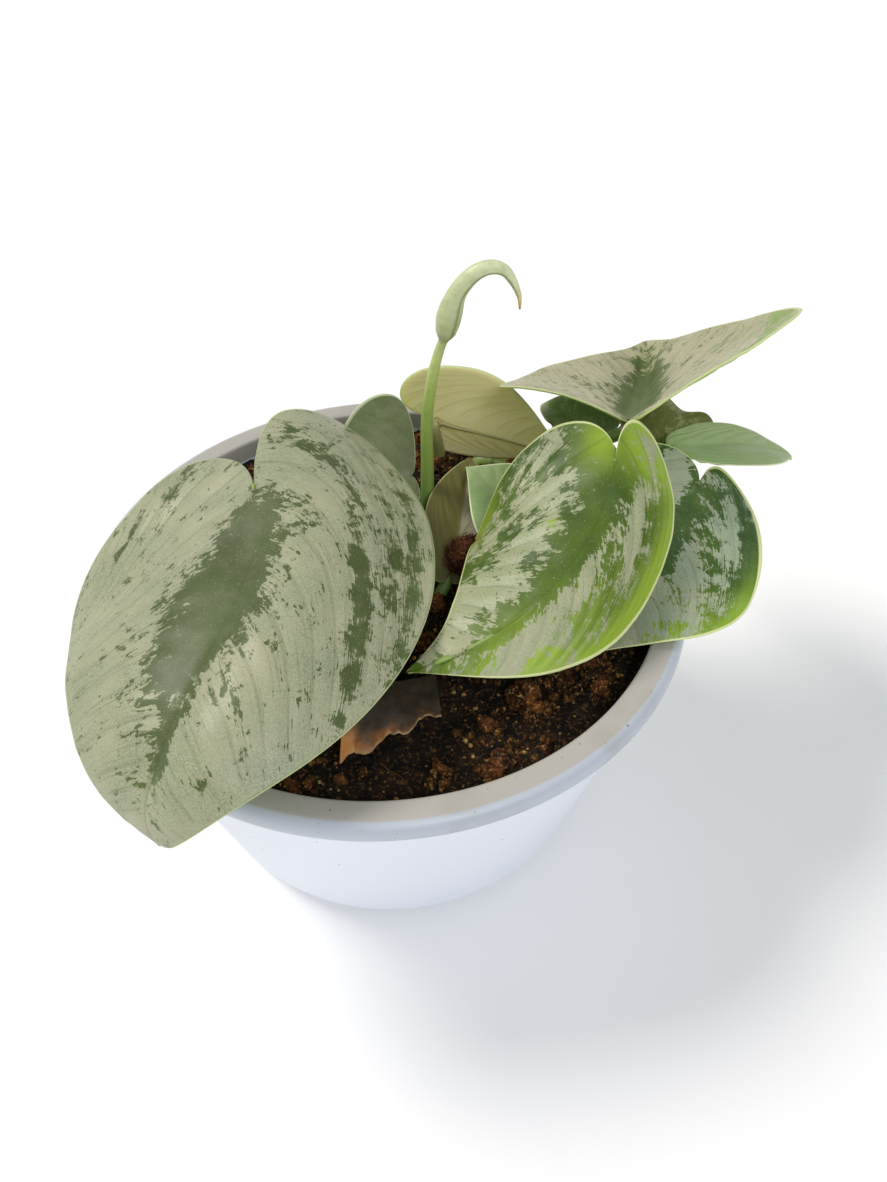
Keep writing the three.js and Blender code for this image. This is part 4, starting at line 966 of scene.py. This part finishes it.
# The same ribbed skin as on the stalks, a little browner.
vine_skin = stalk_skin("vine skin", "#7a8c4a", "#91a356", SOIL_LEVEL - 4, SOIL_LEVEL + 12)
for vine_name, vine in VINES.items():
    start, end = np.array(vine["start"], float), np.array(vine["end"], float)
    deep, top = SOIL_LEVEL - 12, SOIL_LEVEL + vine["rise"]
    control = [np.array([*start, deep]), np.array([*(start + 0.15 * (end - start)), top]),
               np.array([*(end - 0.15 * (end - start)), top]), np.array([*end, deep])]
    share = np.linspace(0, 1, 90)
    joints = 1 + 0.14 * np.maximum(0, np.cos(2 * math.pi * 4 * share)) ** 6
    route = bezier(*control, share[:, None])
    piece = tube(vine_name + "_stem", route, vine["radius"] * joints, VINE_SIDES, [vine_skin])
    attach(piece, "root")
    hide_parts(vine_name)

# %% [markdown]
# ## The pot
#
# The pot is injection-moulded polypropylene: white, a little translucent, with a satin skin. Its rim is a
# flat band that ends in a rolled lip, and both are greyer than the body and carry a cloud of dust and
# specks of old potting mix. Its profile is one closed line, spun round the axis.

# %% The pot's profile, in millimetres
def arc(centre_r, centre_z, radius, start, end, steps):
    angles = np.radians(np.linspace(start, end, steps))
    return [(centre_r + radius * math.cos(a), centre_z + radius * math.sin(a)) for a in angles]


base_turn = -12
foot_in = FOOT_RADIUS - FOOT_WIDTH
round_centre = (BASE_RADIUS - BASE_ROUND, BASE_EDGE + BASE_ROUND)
inner_round = BASE_ROUND - WALL
lip_under = POT_HEIGHT - LIP_DROP
inner_turn_r = round_centre[0] + inner_round * math.cos(math.radians(base_turn))
inner_turn_z = round_centre[1] + inner_round * math.sin(math.radians(base_turn))
profile = [(0, 0), (HUB_RADIUS - 0.3, 0), (HUB_RADIUS, 0.1), (HUB_RADIUS + 1.3, RECESS - 0.1),
           (HUB_RADIUS + 1.7, RECESS), (foot_in - 1.2, RECESS), (foot_in - 0.9, RECESS - 0.1),
           (foot_in - 0.1, 0.1), (foot_in + 0.2, 0), (FOOT_RADIUS - 0.2, 0), (FOOT_RADIUS + 0.2, 0.1),
           (FOOT_RADIUS + 0.8, BASE_EDGE - 0.1)]
profile += arc(*round_centre, BASE_ROUND, -90, base_turn, 14)
profile += [(BODY_TOP_RADIUS - 0.4, lip_under - 2.2), (BODY_TOP_RADIUS - 0.05, lip_under - 0.9),
            (BODY_TOP_RADIUS + 0.6, lip_under - 0.25), (LIP_RADIUS - 1.6, lip_under),
            (LIP_RADIUS - 0.8, lip_under + 0.15), (LIP_RADIUS - 0.25, lip_under + 0.8),
            (LIP_RADIUS, lip_under + 2.4), (LIP_RADIUS - 0.05, lip_under + 4.0),
            (LIP_RADIUS - 0.4, lip_under + 5.2), (LIP_RADIUS - 1.2, lip_under + 6.2),
            (LIP_RADIUS - 2.3, lip_under + 6.8), (RIM_RADIUS, POT_HEIGHT),
            (RIM_RADIUS - 1.5, POT_HEIGHT), (MOUTH_RADIUS + 1.2, POT_HEIGHT - 0.1),
            (MOUTH_RADIUS + 0.5, POT_HEIGHT - 0.25), (MOUTH_RADIUS + 0.1, POT_HEIGHT - 0.7),
            (MOUTH_RADIUS, POT_HEIGHT - 1.4), (MOUTH_RADIUS - MOUTH_TAPER, POT_HEIGHT - MOUTH_DEPTH)]
profile += [(inner_turn_r, inner_turn_z)]
profile += arc(*round_centre, inner_round, base_turn - 6, -88, 10)
profile += [(0, round_centre[1] - inner_round)]
POT_SIDES = 240
DRILL_SIDES = 24
print(len(profile), "points on the pot's profile")

# %% [markdown]
# ## Spinning the pot
#
# The closed profile is turned once round the axis, and six drain holes are drilled through the base. The
# plastic's finish knows its bands by height and by distance from the axis.

# %% Spin the profile and drill the drain holes
def spin(name, line, sides, materials):
    points, faces, rings = [], [], []
    for r, z in line:
        if r == 0:
            rings.append([len(points)] * sides)
            points.append((0, 0, z))
            continue
        rings.append(list(range(len(points), len(points) + sides)))
        for j in range(sides):
            angle = 2 * math.pi * j / sides
            points.append((r * math.cos(angle), r * math.sin(angle), z))
    for low, high in zip(rings, rings[1:]):
        for j in range(sides):
            k = (j + 1) % sides
            face = list(dict.fromkeys([low[j], low[k], high[k], high[j]]))
            if len(face) > 2:
                faces.append(face)
    return new_object(name, points, faces, materials)


# Satin polypropylene, a little translucent, with rubbed-in dust on rim and lip.
pot_skin, tree, shader = new_material(
    "moulded white plastic", Roughness=0.38, IOR=1.49, Subsurface_Weight=0.05)
shader.inputs["Subsurface Radius"].default_value = (0.004, 0.004, 0.005)
place = add(tree, "TexCoord").outputs["Object"]
split = add(tree, "SeparateXYZ", inputs={0: place})
flat_place = add(tree, "VectorMath", {"operation": "MULTIPLY"}, {0: place, 1: (1, 1, 0)})
reach = add(tree, "VectorMath", {"operation": "LENGTH"}, {0: flat_place})
height_band = add(tree, "MapRange", inputs={
    "Value": split.outputs["Z"], "From Min": (lip_under - 0.5) * MM, "From Max": (lip_under + 0.1) * MM})
top_band = add(tree, "MapRange", inputs={
    "Value": reach, "From Min": (LIP_RADIUS - 2.2) * MM, "From Max": (LIP_RADIUS - 2.8) * MM})
rim_here = add(tree, "Math", {"operation": "MULTIPLY"}, {0: height_band, 1: top_band})
cloud = add(tree, "TexNoise", inputs={
    "Vector": place, "Scale": 1 / (22 * MM), "Detail": 5.0, "Roughness": 0.6})
dust = add(tree, "MapRange", inputs={"Value": cloud, "From Min": 0.5, "From Max": 0.75, "To Max": 0.3})
dust_here = add(tree, "Math", {"operation": "MULTIPLY"}, {0: dust, 1: height_band})
spatter = add(tree, "TexVoronoi", inputs={"Vector": place, "Scale": 1 / (9 * MM), "Randomness": 1.0})
speck = add(tree, "MapRange", inputs={
    "Value": spatter, "From Min": 0.05, "From Max": 0.035, "To Max": 0.7})
fine_spatter = add(tree, "TexVoronoi", inputs={
    "Vector": place, "Scale": 1 / (3.2 * MM), "Randomness": 1.0})
fine_speck = add(tree, "MapRange", inputs={
    "Value": fine_spatter, "From Min": 0.09, "From Max": 0.05, "To Max": 0.65})
fine_here = add(tree, "Math", {"operation": "MULTIPLY"}, {0: fine_speck, 1: height_band})
scuff_map = add(tree, "Mapping", inputs={
    "Vector": place, "Scale": (1 / (7 * MM), 1 / (7 * MM), 1 / (1.2 * MM))})
scuffs = add(tree, "TexNoise", inputs={
    "Vector": scuff_map, "Scale": 1.0, "Detail": 6.0, "Roughness": 0.75})
scuff_here = add(tree, "MapRange", inputs={
    "Value": scuffs, "From Min": 0.64, "From Max": 0.78, "To Max": 0.3})
scuffed = paint(tree, "#e6ebf5", (height_band, "#b9c0ca"), (rim_here, "#b3afa7"),
                (dust_here, "#8f8673"), (speck, "#6d6557"), (fine_here, "#7b7466"),
                (scuff_here, "#a3a5a6"))
skin = add(tree, "TexNoise", inputs={"Vector": place, "Scale": 1 / (0.6 * MM), "Detail": 2.0})
cover(tree, shader, scuffed, skin, 0.12, 0.1)

pot = spin("pot_shell", profile, POT_SIDES, [pot_skin])
drills = []
for i in range(DRAINS):
    angle = 2 * math.pi * i / DRAINS
    line = [(0, -2), (DRAIN_RADIUS, -2), (DRAIN_RADIUS, 5), (0, 5)]
    drill = spin("drill", line, DRILL_SIDES, [pot_skin])
    place_of_hole = (DRAIN_CIRCLE * MM * math.cos(angle), DRAIN_CIRCLE * MM * math.sin(angle), 0)
    drill.data.transform(Matrix.Translation(place_of_hole))
    drills.append(drill)
drill = join(*drills)
cut = pot.modifiers.new("drain holes", "BOOLEAN")
cut.operation = "DIFFERENCE"
cut.solver = "EXACT"
cut.object = drill
apply_modifiers(pot)
bpy.data.objects.remove(drill)
pot.data.set_sharp_from_angle(angle=math.radians(50))
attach(pot, "root")
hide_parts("pot")
print("pot", len(pot.data.polygons), "faces")

# %% [markdown]
# ## The potting mix
#
# Potting mix is composted bark and coir: nearly black when damp, with brown clods, yellowish grains and a
# few dry rootlets. Its surface is a round sheet with bumps of several sizes. The clods and the grains are
# scattered on it by Geometry Nodes, because they repeat, and roughened afterwards, so no two are alike.

# %% The surface of the mix
MIX_BOTTOM = 3.6
MIX_BOTTOM_RADIUS = 61.5
MIX_GAP = 0.5
MIX_WALL_HEIGHTS = (SOIL_LEVEL - 12, 40, 12, MIX_BOTTOM)


def inner_radius(z):
    """The inside of the pot's wall at a height."""
    t = (z - inner_turn_z) / (POT_HEIGHT - MOUTH_DEPTH - inner_turn_z)
    throat = MOUTH_RADIUS - MOUTH_TAPER
    return min(inner_turn_r + (throat - inner_turn_r) * t, throat)


def mix_height(x, y):
    bumps = np.sin(x / 8 + 1) * np.cos(y / 9) + 0.6 * np.sin(x / 4.6 + y / 6) + 0.5 * np.cos(y / 4 - x / 11)
    to_leaf = np.hypot((x + 1) / 22, (y + 60) / 16)
    flat = np.clip((to_leaf - 0.85) / 0.4, 0, 1)
    return SOIL_LEVEL + 1.3 * bumps * flat - 1.6 * (1 - flat)


def soil_material(name, dark, brown, light, roughness=0.95):
    material, tree, shader = new_material(name, Roughness=roughness)
    shader.inputs["Specular IOR Level"].default_value = 0.25
    place = add(tree, "TexCoord").outputs["Object"]
    lumps = add(tree, "TexNoise", inputs={
        "Vector": place, "Scale": 1 / (6 * MM), "Detail": 6.0, "Roughness": 0.7})
    crumbs = add(tree, "TexNoise", inputs={
        "Vector": place, "Scale": 1 / (1.3 * MM), "Detail": 4.0, "Roughness": 0.7})
    brown_here = add(tree, "MapRange", inputs={"Value": lumps, "From Min": 0.42, "From Max": 0.66})
    light_here = add(tree, "MapRange", inputs={
        "Value": crumbs, "From Min": 0.54, "From Max": 0.68, "To Max": 0.75})
    toned = paint(tree, dark, (brown_here, brown), (light_here, light))
    cover(tree, shader, toned, crumbs, 0.9, 0.6)
    return material


# Peat, bark, dry grains and coir: all matt, from nearly black to straw.
mix_dark = soil_material("damp potting mix", "#060403", "#26180b", "#6e532c")
mix_crumb = soil_material("crumb of bark", "#120a05", "#5f3a15", "#bb8c48")
mix_clod = soil_material("clod of bark", "#150b05", "#744420", "#d4a45c")
mix_grain = soil_material("dry grain", "#6a4e28", "#b8924e", "#e0cc92", 0.8)
mix_fibre = soil_material("coir fibre", "#4a2a1a", "#7d4b30", "#a8744a")

RINGS, SPOKES = 90, 300
top_radius = inner_radius(SOIL_LEVEL) - 0.4
polar_r = np.concatenate([[0], np.repeat(top_radius * np.arange(1, RINGS + 1) / RINGS, SPOKES)])
polar_a = np.concatenate([[0], np.tile(2 * math.pi * np.arange(SPOKES) / SPOKES, RINGS)])
soil_x, soil_y = polar_r * np.cos(polar_a), polar_r * np.sin(polar_a)
flat_points = np.stack([soil_x, soil_y, np.zeros_like(soil_x)], -1)
soil_z = mix_height(soil_x, soil_y)
inside = 1 - smooth_step(top_radius - 1.5, top_radius, polar_r)
lumps = 2.4 * rough(flat_points, 9, 1) + 1.5 * rough(flat_points, 4, 2) + 0.8 * rough(flat_points, 1.8, 3)
soil_z += inside * lumps
soil_points = np.stack([soil_x, soil_y, soil_z], -1)
soil_faces = [[0, 1 + j, 1 + (j + 1) % SPOKES] for j in range(SPOKES)]
for i in range(RINGS - 1):
    for j in range(SPOKES):
        a, b = 1 + i * SPOKES + j, 1 + i * SPOKES + (j + 1) % SPOKES
        soil_faces.append([a, a + SPOKES, b + SPOKES, b])
wall_rows = []
for z in MIX_WALL_HEIGHTS:
    radius = MIX_BOTTOM_RADIUS if z == MIX_BOTTOM else inner_radius(z) - MIX_GAP
    turns = [2 * math.pi * j / SPOKES for j in range(SPOKES)]
    wall_rows.append([(radius * math.cos(turn), radius * math.sin(turn), z) for turn in turns])
soil_points = np.vstack([soil_points, *wall_rows, [(0, 0, MIX_BOTTOM)]])
last_ring = 1 + (RINGS - 1) * SPOKES
for i in range(len(MIX_WALL_HEIGHTS)):
    for j in range(SPOKES):
        a, b = last_ring + i * SPOKES + j, last_ring + i * SPOKES + (j + 1) % SPOKES
        soil_faces.append([a, a + SPOKES, b + SPOKES, b])
bottom = last_ring + len(MIX_WALL_HEIGHTS) * SPOKES
centre = len(soil_points) - 1
soil_faces += [[centre, bottom + (j + 1) % SPOKES, bottom + j] for j in range(SPOKES)]
open_ground = smooth_step(0.9, 1.25, np.hypot((soil_points[:, 0] + 2) / 18, (soil_points[:, 1] + 59) / 16))
open_ground *= np.hypot(soil_points[:, 0], soil_points[:, 1]) < top_radius - 3
open_ground *= soil_points[:, 2] > SOIL_LEVEL - 6
mix = new_object("mix_surface", soil_points, soil_faces, [mix_dark], {"open_ground": open_ground})
print("mix surface", len(mix.data.polygons), "faces")


# %% [markdown]
# ## Clods, crumbs and grains
#
# Geometry Nodes strew points over the open ground, put a ball on each, and push its surface about with
# two noises. One tree makes all three sizes, with its inputs set to other values.

# %% Clods and grains scattered by Geometry Nodes
def strewing_tree(name, amount, **kinds):
    """A tree with named inputs that strews points over open ground; also its inputs and the points."""
    tree = bpy.data.node_groups.new(name, "GeometryNodeTree")
    kinds = {"Geometry": "Geometry", amount: "Float", **kinds, "Seed": "Int", "Material": "Material"}
    for label, kind in kinds.items():
        tree.interface.new_socket(label, in_out="INPUT", socket_type="NodeSocket" + kind)
    tree.interface.new_socket("Geometry", in_out="OUTPUT", socket_type="NodeSocketGeometry")
    given = add(tree, "NodeGroupInput").outputs
    ground = add(tree, "GeometryNodeInputNamedAttribute", {"data_type": "FLOAT"}, {"Name": "open_ground"})
    density = add(tree, "Math", {"operation": "MULTIPLY"}, {0: given[amount], 1: ground.outputs["Attribute"]})
    points = add(tree, "GeometryNodeDistributePointsOnFaces", inputs={
        "Mesh": given["Geometry"], "Density": density, "Seed": given["Seed"]})
    return tree, given, points


def draw(tree, given, low, high, kind="FLOAT"):
    """A random value for each point."""
    ends = {2: low, 3: high} if kind == "FLOAT" else {"Min": low, "Max": high}
    drawn = add(tree, "FunctionNodeRandomValue", {"data_type": kind}, {**ends, "Seed": given["Seed"]})
    return drawn.outputs[1 if kind == "FLOAT" else 0]


def push(tree, amount, settings=None, **noise):
    """Offsets from a noise at each place, half the amount at most."""
    where = add(tree, "GeometryNodeInputPosition")
    bumps = add(tree, "TexNoise", settings, {"Vector": where, **noise})
    centred = add(tree, "VectorMath", {"operation": "SUBTRACT"}, {
        0: bumps.outputs["Color"], 1: (0.5, 0.5, 0.5)})
    return add(tree, "VectorMath", {"operation": "SCALE"}, {0: centred, "Scale": amount})


def end_tree(tree, given, geometry):
    finished = add(tree, "GeometryNodeSetMaterial", inputs={
        "Geometry": geometry, "Material": given["Material"]})
    add(tree, "NodeGroupOutput", inputs={"Geometry": finished})
    return tree


def scatter_tree():
    tree, given, points = strewing_tree("crumbs on the mix", "Crumbs per square metre", Smallest="Float",
                                        Largest="Float", Roughness="Float", Detail="Int")
    ball = add(tree, "GeometryNodeMeshIcoSphere", inputs={"Radius": 1.0, "Subdivisions": given["Detail"]})
    few_large = add(tree, "Math", {"operation": "POWER"}, {0: draw(tree, given, 0.0, 1.0), 1: 2.5})
    size = add(tree, "MapRange", inputs={
        "Value": few_large, "To Min": given["Smallest"], "To Max": given["Largest"]})
    squash = draw(tree, given, (0.7, 0.7, 0.7), (1.2, 1.2, 1.1), "FLOAT_VECTOR")
    scale = add(tree, "VectorMath", {"operation": "SCALE"}, {0: squash, "Scale": size})
    placed = add(tree, "GeometryNodeInstanceOnPoints", inputs={
        "Points": points, "Instance": ball, "Scale": scale,
        "Rotation": draw(tree, given, (0, 0, 0), (0.6, 0.6, 6.28), "FLOAT_VECTOR")})
    real = add(tree, "GeometryNodeRealizeInstances", inputs={0: placed})
    fine_size = add(tree, "Math", {"operation": "MULTIPLY"}, {0: given["Roughness"], 1: 0.35})
    both = add(tree, "VectorMath", {"operation": "ADD"}, {
        0: push(tree, given["Roughness"], Scale=260.0, Detail=5.0, Roughness=0.65),
        1: push(tree, fine_size, Scale=900.0, Detail=3.0, Roughness=0.7)})
    moved = add(tree, "GeometryNodeSetPosition", inputs={"Geometry": real, "Offset": both})
    return end_tree(tree, given, moved)


def scatter(name, ground, tree, **values):
    """A new piece: what the tree strews over the ground, as a plain mesh."""
    piece = bpy.data.objects.new(name, ground.data.copy())
    bpy.context.scene.collection.objects.link(piece)
    modifier = piece.modifiers.new("strewn", "NODES")
    modifier.node_group = tree
    for item in tree.interface.items_tree:
        key = item.name.replace(" ", "_")
        if item.in_out == "INPUT" and key in values:
            modifier[item.identifier] = values[key]
    apply_modifiers(piece)
    print(name, len(piece.data.polygons), "faces")
    return piece


crumb_tree = scatter_tree()
clods = scatter("mix_clods", mix, crumb_tree, Crumbs_per_square_metre=6000.0, Smallest=1.5 * MM,
                Largest=6.5 * MM, Roughness=9.0 * MM, Detail=4, Seed=4, Material=mix_clod)
crumbs = scatter("mix_crumbs", mix, crumb_tree, Crumbs_per_square_metre=75000.0, Smallest=0.45 * MM,
                 Largest=2.0 * MM, Roughness=2.4 * MM, Detail=2, Seed=9, Material=mix_crumb)
grains = scatter("mix_grains", mix, crumb_tree, Crumbs_per_square_metre=50000.0, Smallest=0.25 * MM,
                 Largest=1.0 * MM, Roughness=0.8 * MM, Detail=2, Seed=15, Material=mix_grain)
for piece in (mix, clods, crumbs, grains):
    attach(piece, "root")
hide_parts("potting_mix")

# %% [markdown]
# ## The lump of coir and the loose rootlets
#
# Between the leaves a lump of coir stands out of the mix: short reddish-brown fibres, felted together. A
# rough ball carries them. Geometry Nodes strew short lines over the ball, turn each at random, bend it
# and give it a thin three-sided section. The same nodes strew the loose rootlets over the mix.

# %% Fibres scattered by Geometry Nodes
COIR_PLACE = (28.5, 1.5)
COIR_HEIGHT = 8.5
COIR_SIDES = 32
COIR_PROFILE = [(0, -7), (4, -6), (6.5, -3), (7.4, 0), (6.5, 3.4), (4, 6), (0, 7.2)]


def fibre_tree():
    tree, given, points = strewing_tree(
        "fibres", "Fibres per square metre", Shortest="Float", Longest="Float", Thickness="Float",
        Lift="Float", Wander="Float")
    line = add(tree, "GeometryNodeCurvePrimitiveLine", inputs={"Start": (-0.5, 0, 0), "End": (0.5, 0, 0)})
    placed = add(tree, "GeometryNodeInstanceOnPoints", inputs={
        "Points": points, "Instance": line, "Rotation": points.outputs["Rotation"],
        "Scale": draw(tree, given, given["Shortest"], given["Longest"])})
    least = add(tree, "Math", {"operation": "MULTIPLY"}, {0: given["Lift"], 1: -1.0})
    angles = add(tree, "CombineXYZ", inputs={
        "Y": draw(tree, given, least, given["Lift"]), "Z": draw(tree, given, 0.0, 6.28)})
    turned_lines = add(tree, "GeometryNodeRotateInstances", inputs={"Instances": placed, "Rotation": angles})
    marked = add(tree, "GeometryNodeStoreNamedAttribute", {"data_type": "FLOAT", "domain": "INSTANCE"}, {
        "Geometry": turned_lines, "Name": "own", "Value": draw(tree, given, 0.0, 50.0)})
    real = add(tree, "GeometryNodeRealizeInstances", inputs={0: marked})
    fine = add(tree, "GeometryNodeResampleCurve", inputs={"Curve": real, "Count": 8})
    which = add(tree, "GeometryNodeInputNamedAttribute", {"data_type": "FLOAT"}, {"Name": "own"})
    bent = add(tree, "GeometryNodeSetPosition", inputs={
        "Geometry": fine, "Offset": push(tree, given["Wander"], {"noise_dimensions": "4D"},
                                         W=which.outputs["Attribute"], Scale=240.0, Detail=1.0)})
    section = add(tree, "GeometryNodeCurvePrimitiveCircle", inputs={
        "Resolution": 3, "Radius": given["Thickness"]})
    tubes = add(tree, "GeometryNodeCurveToMesh", inputs={
        "Curve": bent, "Profile Curve": section, "Fill Caps": True})
    return end_tree(tree, given, tubes)


strands = fibre_tree()
ball = spin("coir_ball", COIR_PROFILE, COIR_SIDES, [mix_clod])
ball.data.transform(Matrix.Translation(Vector((*COIR_PLACE, SOIL_LEVEL + COIR_HEIGHT)) * MM))
everywhere = ball.data.attributes.new("open_ground", "FLOAT", "POINT")
everywhere.data.foreach_set("value", [1.0] * len(ball.data.vertices))
coir = scatter(
    "coir_fibres", ball, strands, Fibres_per_square_metre=2.0e6, Shortest=3.0 * MM, Longest=7.0 * MM,
    Thickness=0.13 * MM, Lift=0.5, Wander=3.0 * MM, Seed=7, Material=mix_fibre)
join(coir, ball)
rootlets = scatter(
    "mix_rootlets", mix, strands, Fibres_per_square_metre=7000.0, Shortest=4.0 * MM, Longest=12.0 * MM,
    Thickness=0.11 * MM, Lift=0.3, Wander=6.0 * MM, Seed=3, Material=mix_fibre)
for piece in (coir, rootlets):
    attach(piece, "root")

# %% [markdown]
# ## The dead leaf
#
# A leaf that has died lies curled on the mix under the large one: amber at one end, nearly black at the
# other, with a pale torn edge. It is a thin sheet between four corners, arched across and torn along the
# front edge.

# %% The dry sheet
DEAD_CORNERS = dict(left_high=(-14, -52, 103), left_low=(-17, -74.5, 98.6),
                    right_high=(13, -46, 100.5), right_low=(13.5, -59, 98.4))
CURL = 4.2
DEAD_LENGTHWAYS, DEAD_ACROSS = 71, 31
DEAD_THICK = 0.5
u, v = np.meshgrid(np.linspace(0, 1, DEAD_LENGTHWAYS), np.linspace(0, 1, DEAD_ACROSS), indexing="ij")
corner = {key: np.array(value, float) for key, value in DEAD_CORNERS.items()}
high_edge = corner["left_high"] + u[..., None] * (corner["right_high"] - corner["left_high"])
low_edge = corner["left_low"] + u[..., None] * (corner["right_low"] - corner["left_low"])
sheet = high_edge + v[..., None] * (low_edge - high_edge)
sheet[..., 1] += 1.5 * np.sin(17 * u) * v * v
sheet[..., 2] += CURL * np.sin(math.pi * v) * (0.5 + 0.5 * np.sin(5 * u + 0.6))
flat = sheet.reshape(-1, 3)
crease = rough(flat, 3.5, 11).reshape(u.shape)
tear = rough(np.stack([u.ravel() * 30, np.zeros(u.size), np.zeros(u.size)], -1), 1.2, 5).reshape(u.shape)
sheet[..., 2] += 0.5 * crease
sheet[..., 1] += 0.8 * tear * smooth_step(0.75, 1, v)
corner_ids = np.arange(u.size).reshape(u.shape)
dead_faces = np.stack([corner_ids[:-1, :-1], corner_ids[:-1, 1:],
                       corner_ids[1:, 1:], corner_ids[1:, :-1]], -1).reshape(-1, 4).tolist()

# Dry brittle leaf, nearly black inside and amber towards its torn edge.
dead_skin, tree, shader = new_material("dry dead leaf", Roughness=0.62)
dry = add(tree, "Attribute", {"attribute_name": "dry"}).outputs["Fac"]
place = add(tree, "TexCoord").outputs["Object"]
mottle = add(tree, "TexNoise", inputs={
    "Vector": place, "Scale": 1 / (4 * MM), "Detail": 5.0, "Roughness": 0.65})
mixed = add(tree, "Math", {"operation": "MULTIPLY_ADD", "use_clamp": True}, {0: mottle, 1: 0.7, 2: dry})
ramp = add(tree, "ValToRGB", inputs={0: mixed})
fill_ramp(ramp, [(0.22, "#21170c"), (0.5, "#3d2b16"), (0.72, "#7a4c22"), (1.0, "#b97c3c")])
torn_edge = add(tree, "Attribute", {"attribute_name": "torn"}).outputs["Fac"]
edged = paint(tree, ramp, (torn_edge, "#c9a878"))
cover(tree, shader, edged, mottle, 0.6, 0.4)

dryness = 0.55 * smooth_step(0.55, 1, v) * (1 - 0.6 * u) + 0.5 * (1 - smooth_step(0, 0.25, u)) - 0.05
dead = new_object("dead_leaf_sheet", sheet.reshape(-1, 3), dead_faces, [dead_skin], {
    "dry": dryness.ravel(),
    "torn": (smooth_step(0.95, 1.0, v) * np.clip(0.6 + 0.8 * tear, 0, 1)).ravel()})
solidify = dead.modifiers.new("thickness", "SOLIDIFY")
solidify.thickness = DEAD_THICK * MM
solidify.offset = 1
apply_modifiers(dead)
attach(dead, "root")
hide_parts("dead_leaf")
print("dead leaf", len(dead.data.polygons), "faces")

# %% [markdown]
# ## Floor and light
#
# The photograph shows the plant against plain white, in the soft light of a window behind it and to the
# left, with the room's light from the front. A pale floor, one soft sun from the back left, a weaker
# one from the front right and a bright even sky give the same.

# %% Floor, lamps and sky
floor_mesh = bpy.data.meshes.new("floor")
floor_mesh.from_pydata([(-6, -6, 0), (6, -6, 0), (6, 6, 0), (-6, 6, 0)], [], [[0, 1, 2, 3]])
floor = bpy.data.objects.new("floor", floor_mesh)
bpy.context.scene.collection.objects.link(floor)
# Matt white paper.
floor_skin, tree, shader = new_material("pale floor", Roughness=0.9)
shader.inputs["Base Color"].default_value = linear("#f4f4f4")
floor.data.materials.append(floor_skin)

# Each lamp's name, where it shines from, its spread in degrees, its strength and its colour.
LAMPS = [
    ("window", (-0.65, 0.33, 0.88), 22, 1.9, "#fffaf2"),
    ("room", (0.3, -0.9, 0.95), 26, 1.1, "#f8faff"),
]
for lamp_name, direction, spread, strength, tint in LAMPS:
    data = bpy.data.lights.new(lamp_name, "SUN")
    data.angle = math.radians(spread)
    data.energy = strength
    data.color = linear(tint)[:3]
    lamp = bpy.data.objects.new(lamp_name, data)
    lamp.location = direction
    lamp.rotation_euler = Vector(direction).to_track_quat("Z", "Y").to_euler()
    bpy.context.scene.collection.objects.link(lamp)

world = bpy.data.worlds.new("white room")
bpy.context.scene.world = world
world.use_nodes = True
world.node_tree.nodes["Background"].inputs["Color"].default_value = linear("#fbfcff")
world.node_tree.nodes["Background"].inputs["Strength"].default_value = 0.47
bpy.context.scene.view_settings.view_transform = "Standard"

# %% [markdown]
# ## The last measures
#
# The triangles of every piece are counted: the large pieces are named, and the sum of all is printed.

# %% How fine the model is
LARGE_PIECE = 30000
total = 0
for piece in bpy.context.scene.objects:
    if piece.type == "MESH" and piece.name != "floor":
        triangles = sum(len(face.vertices) - 2 for face in piece.data.polygons)
        total += triangles if not piece.name.startswith("cad_") else 0
        if triangles > LARGE_PIECE:
            print(piece.name, triangles, "triangles")
print(total, "triangles in all")
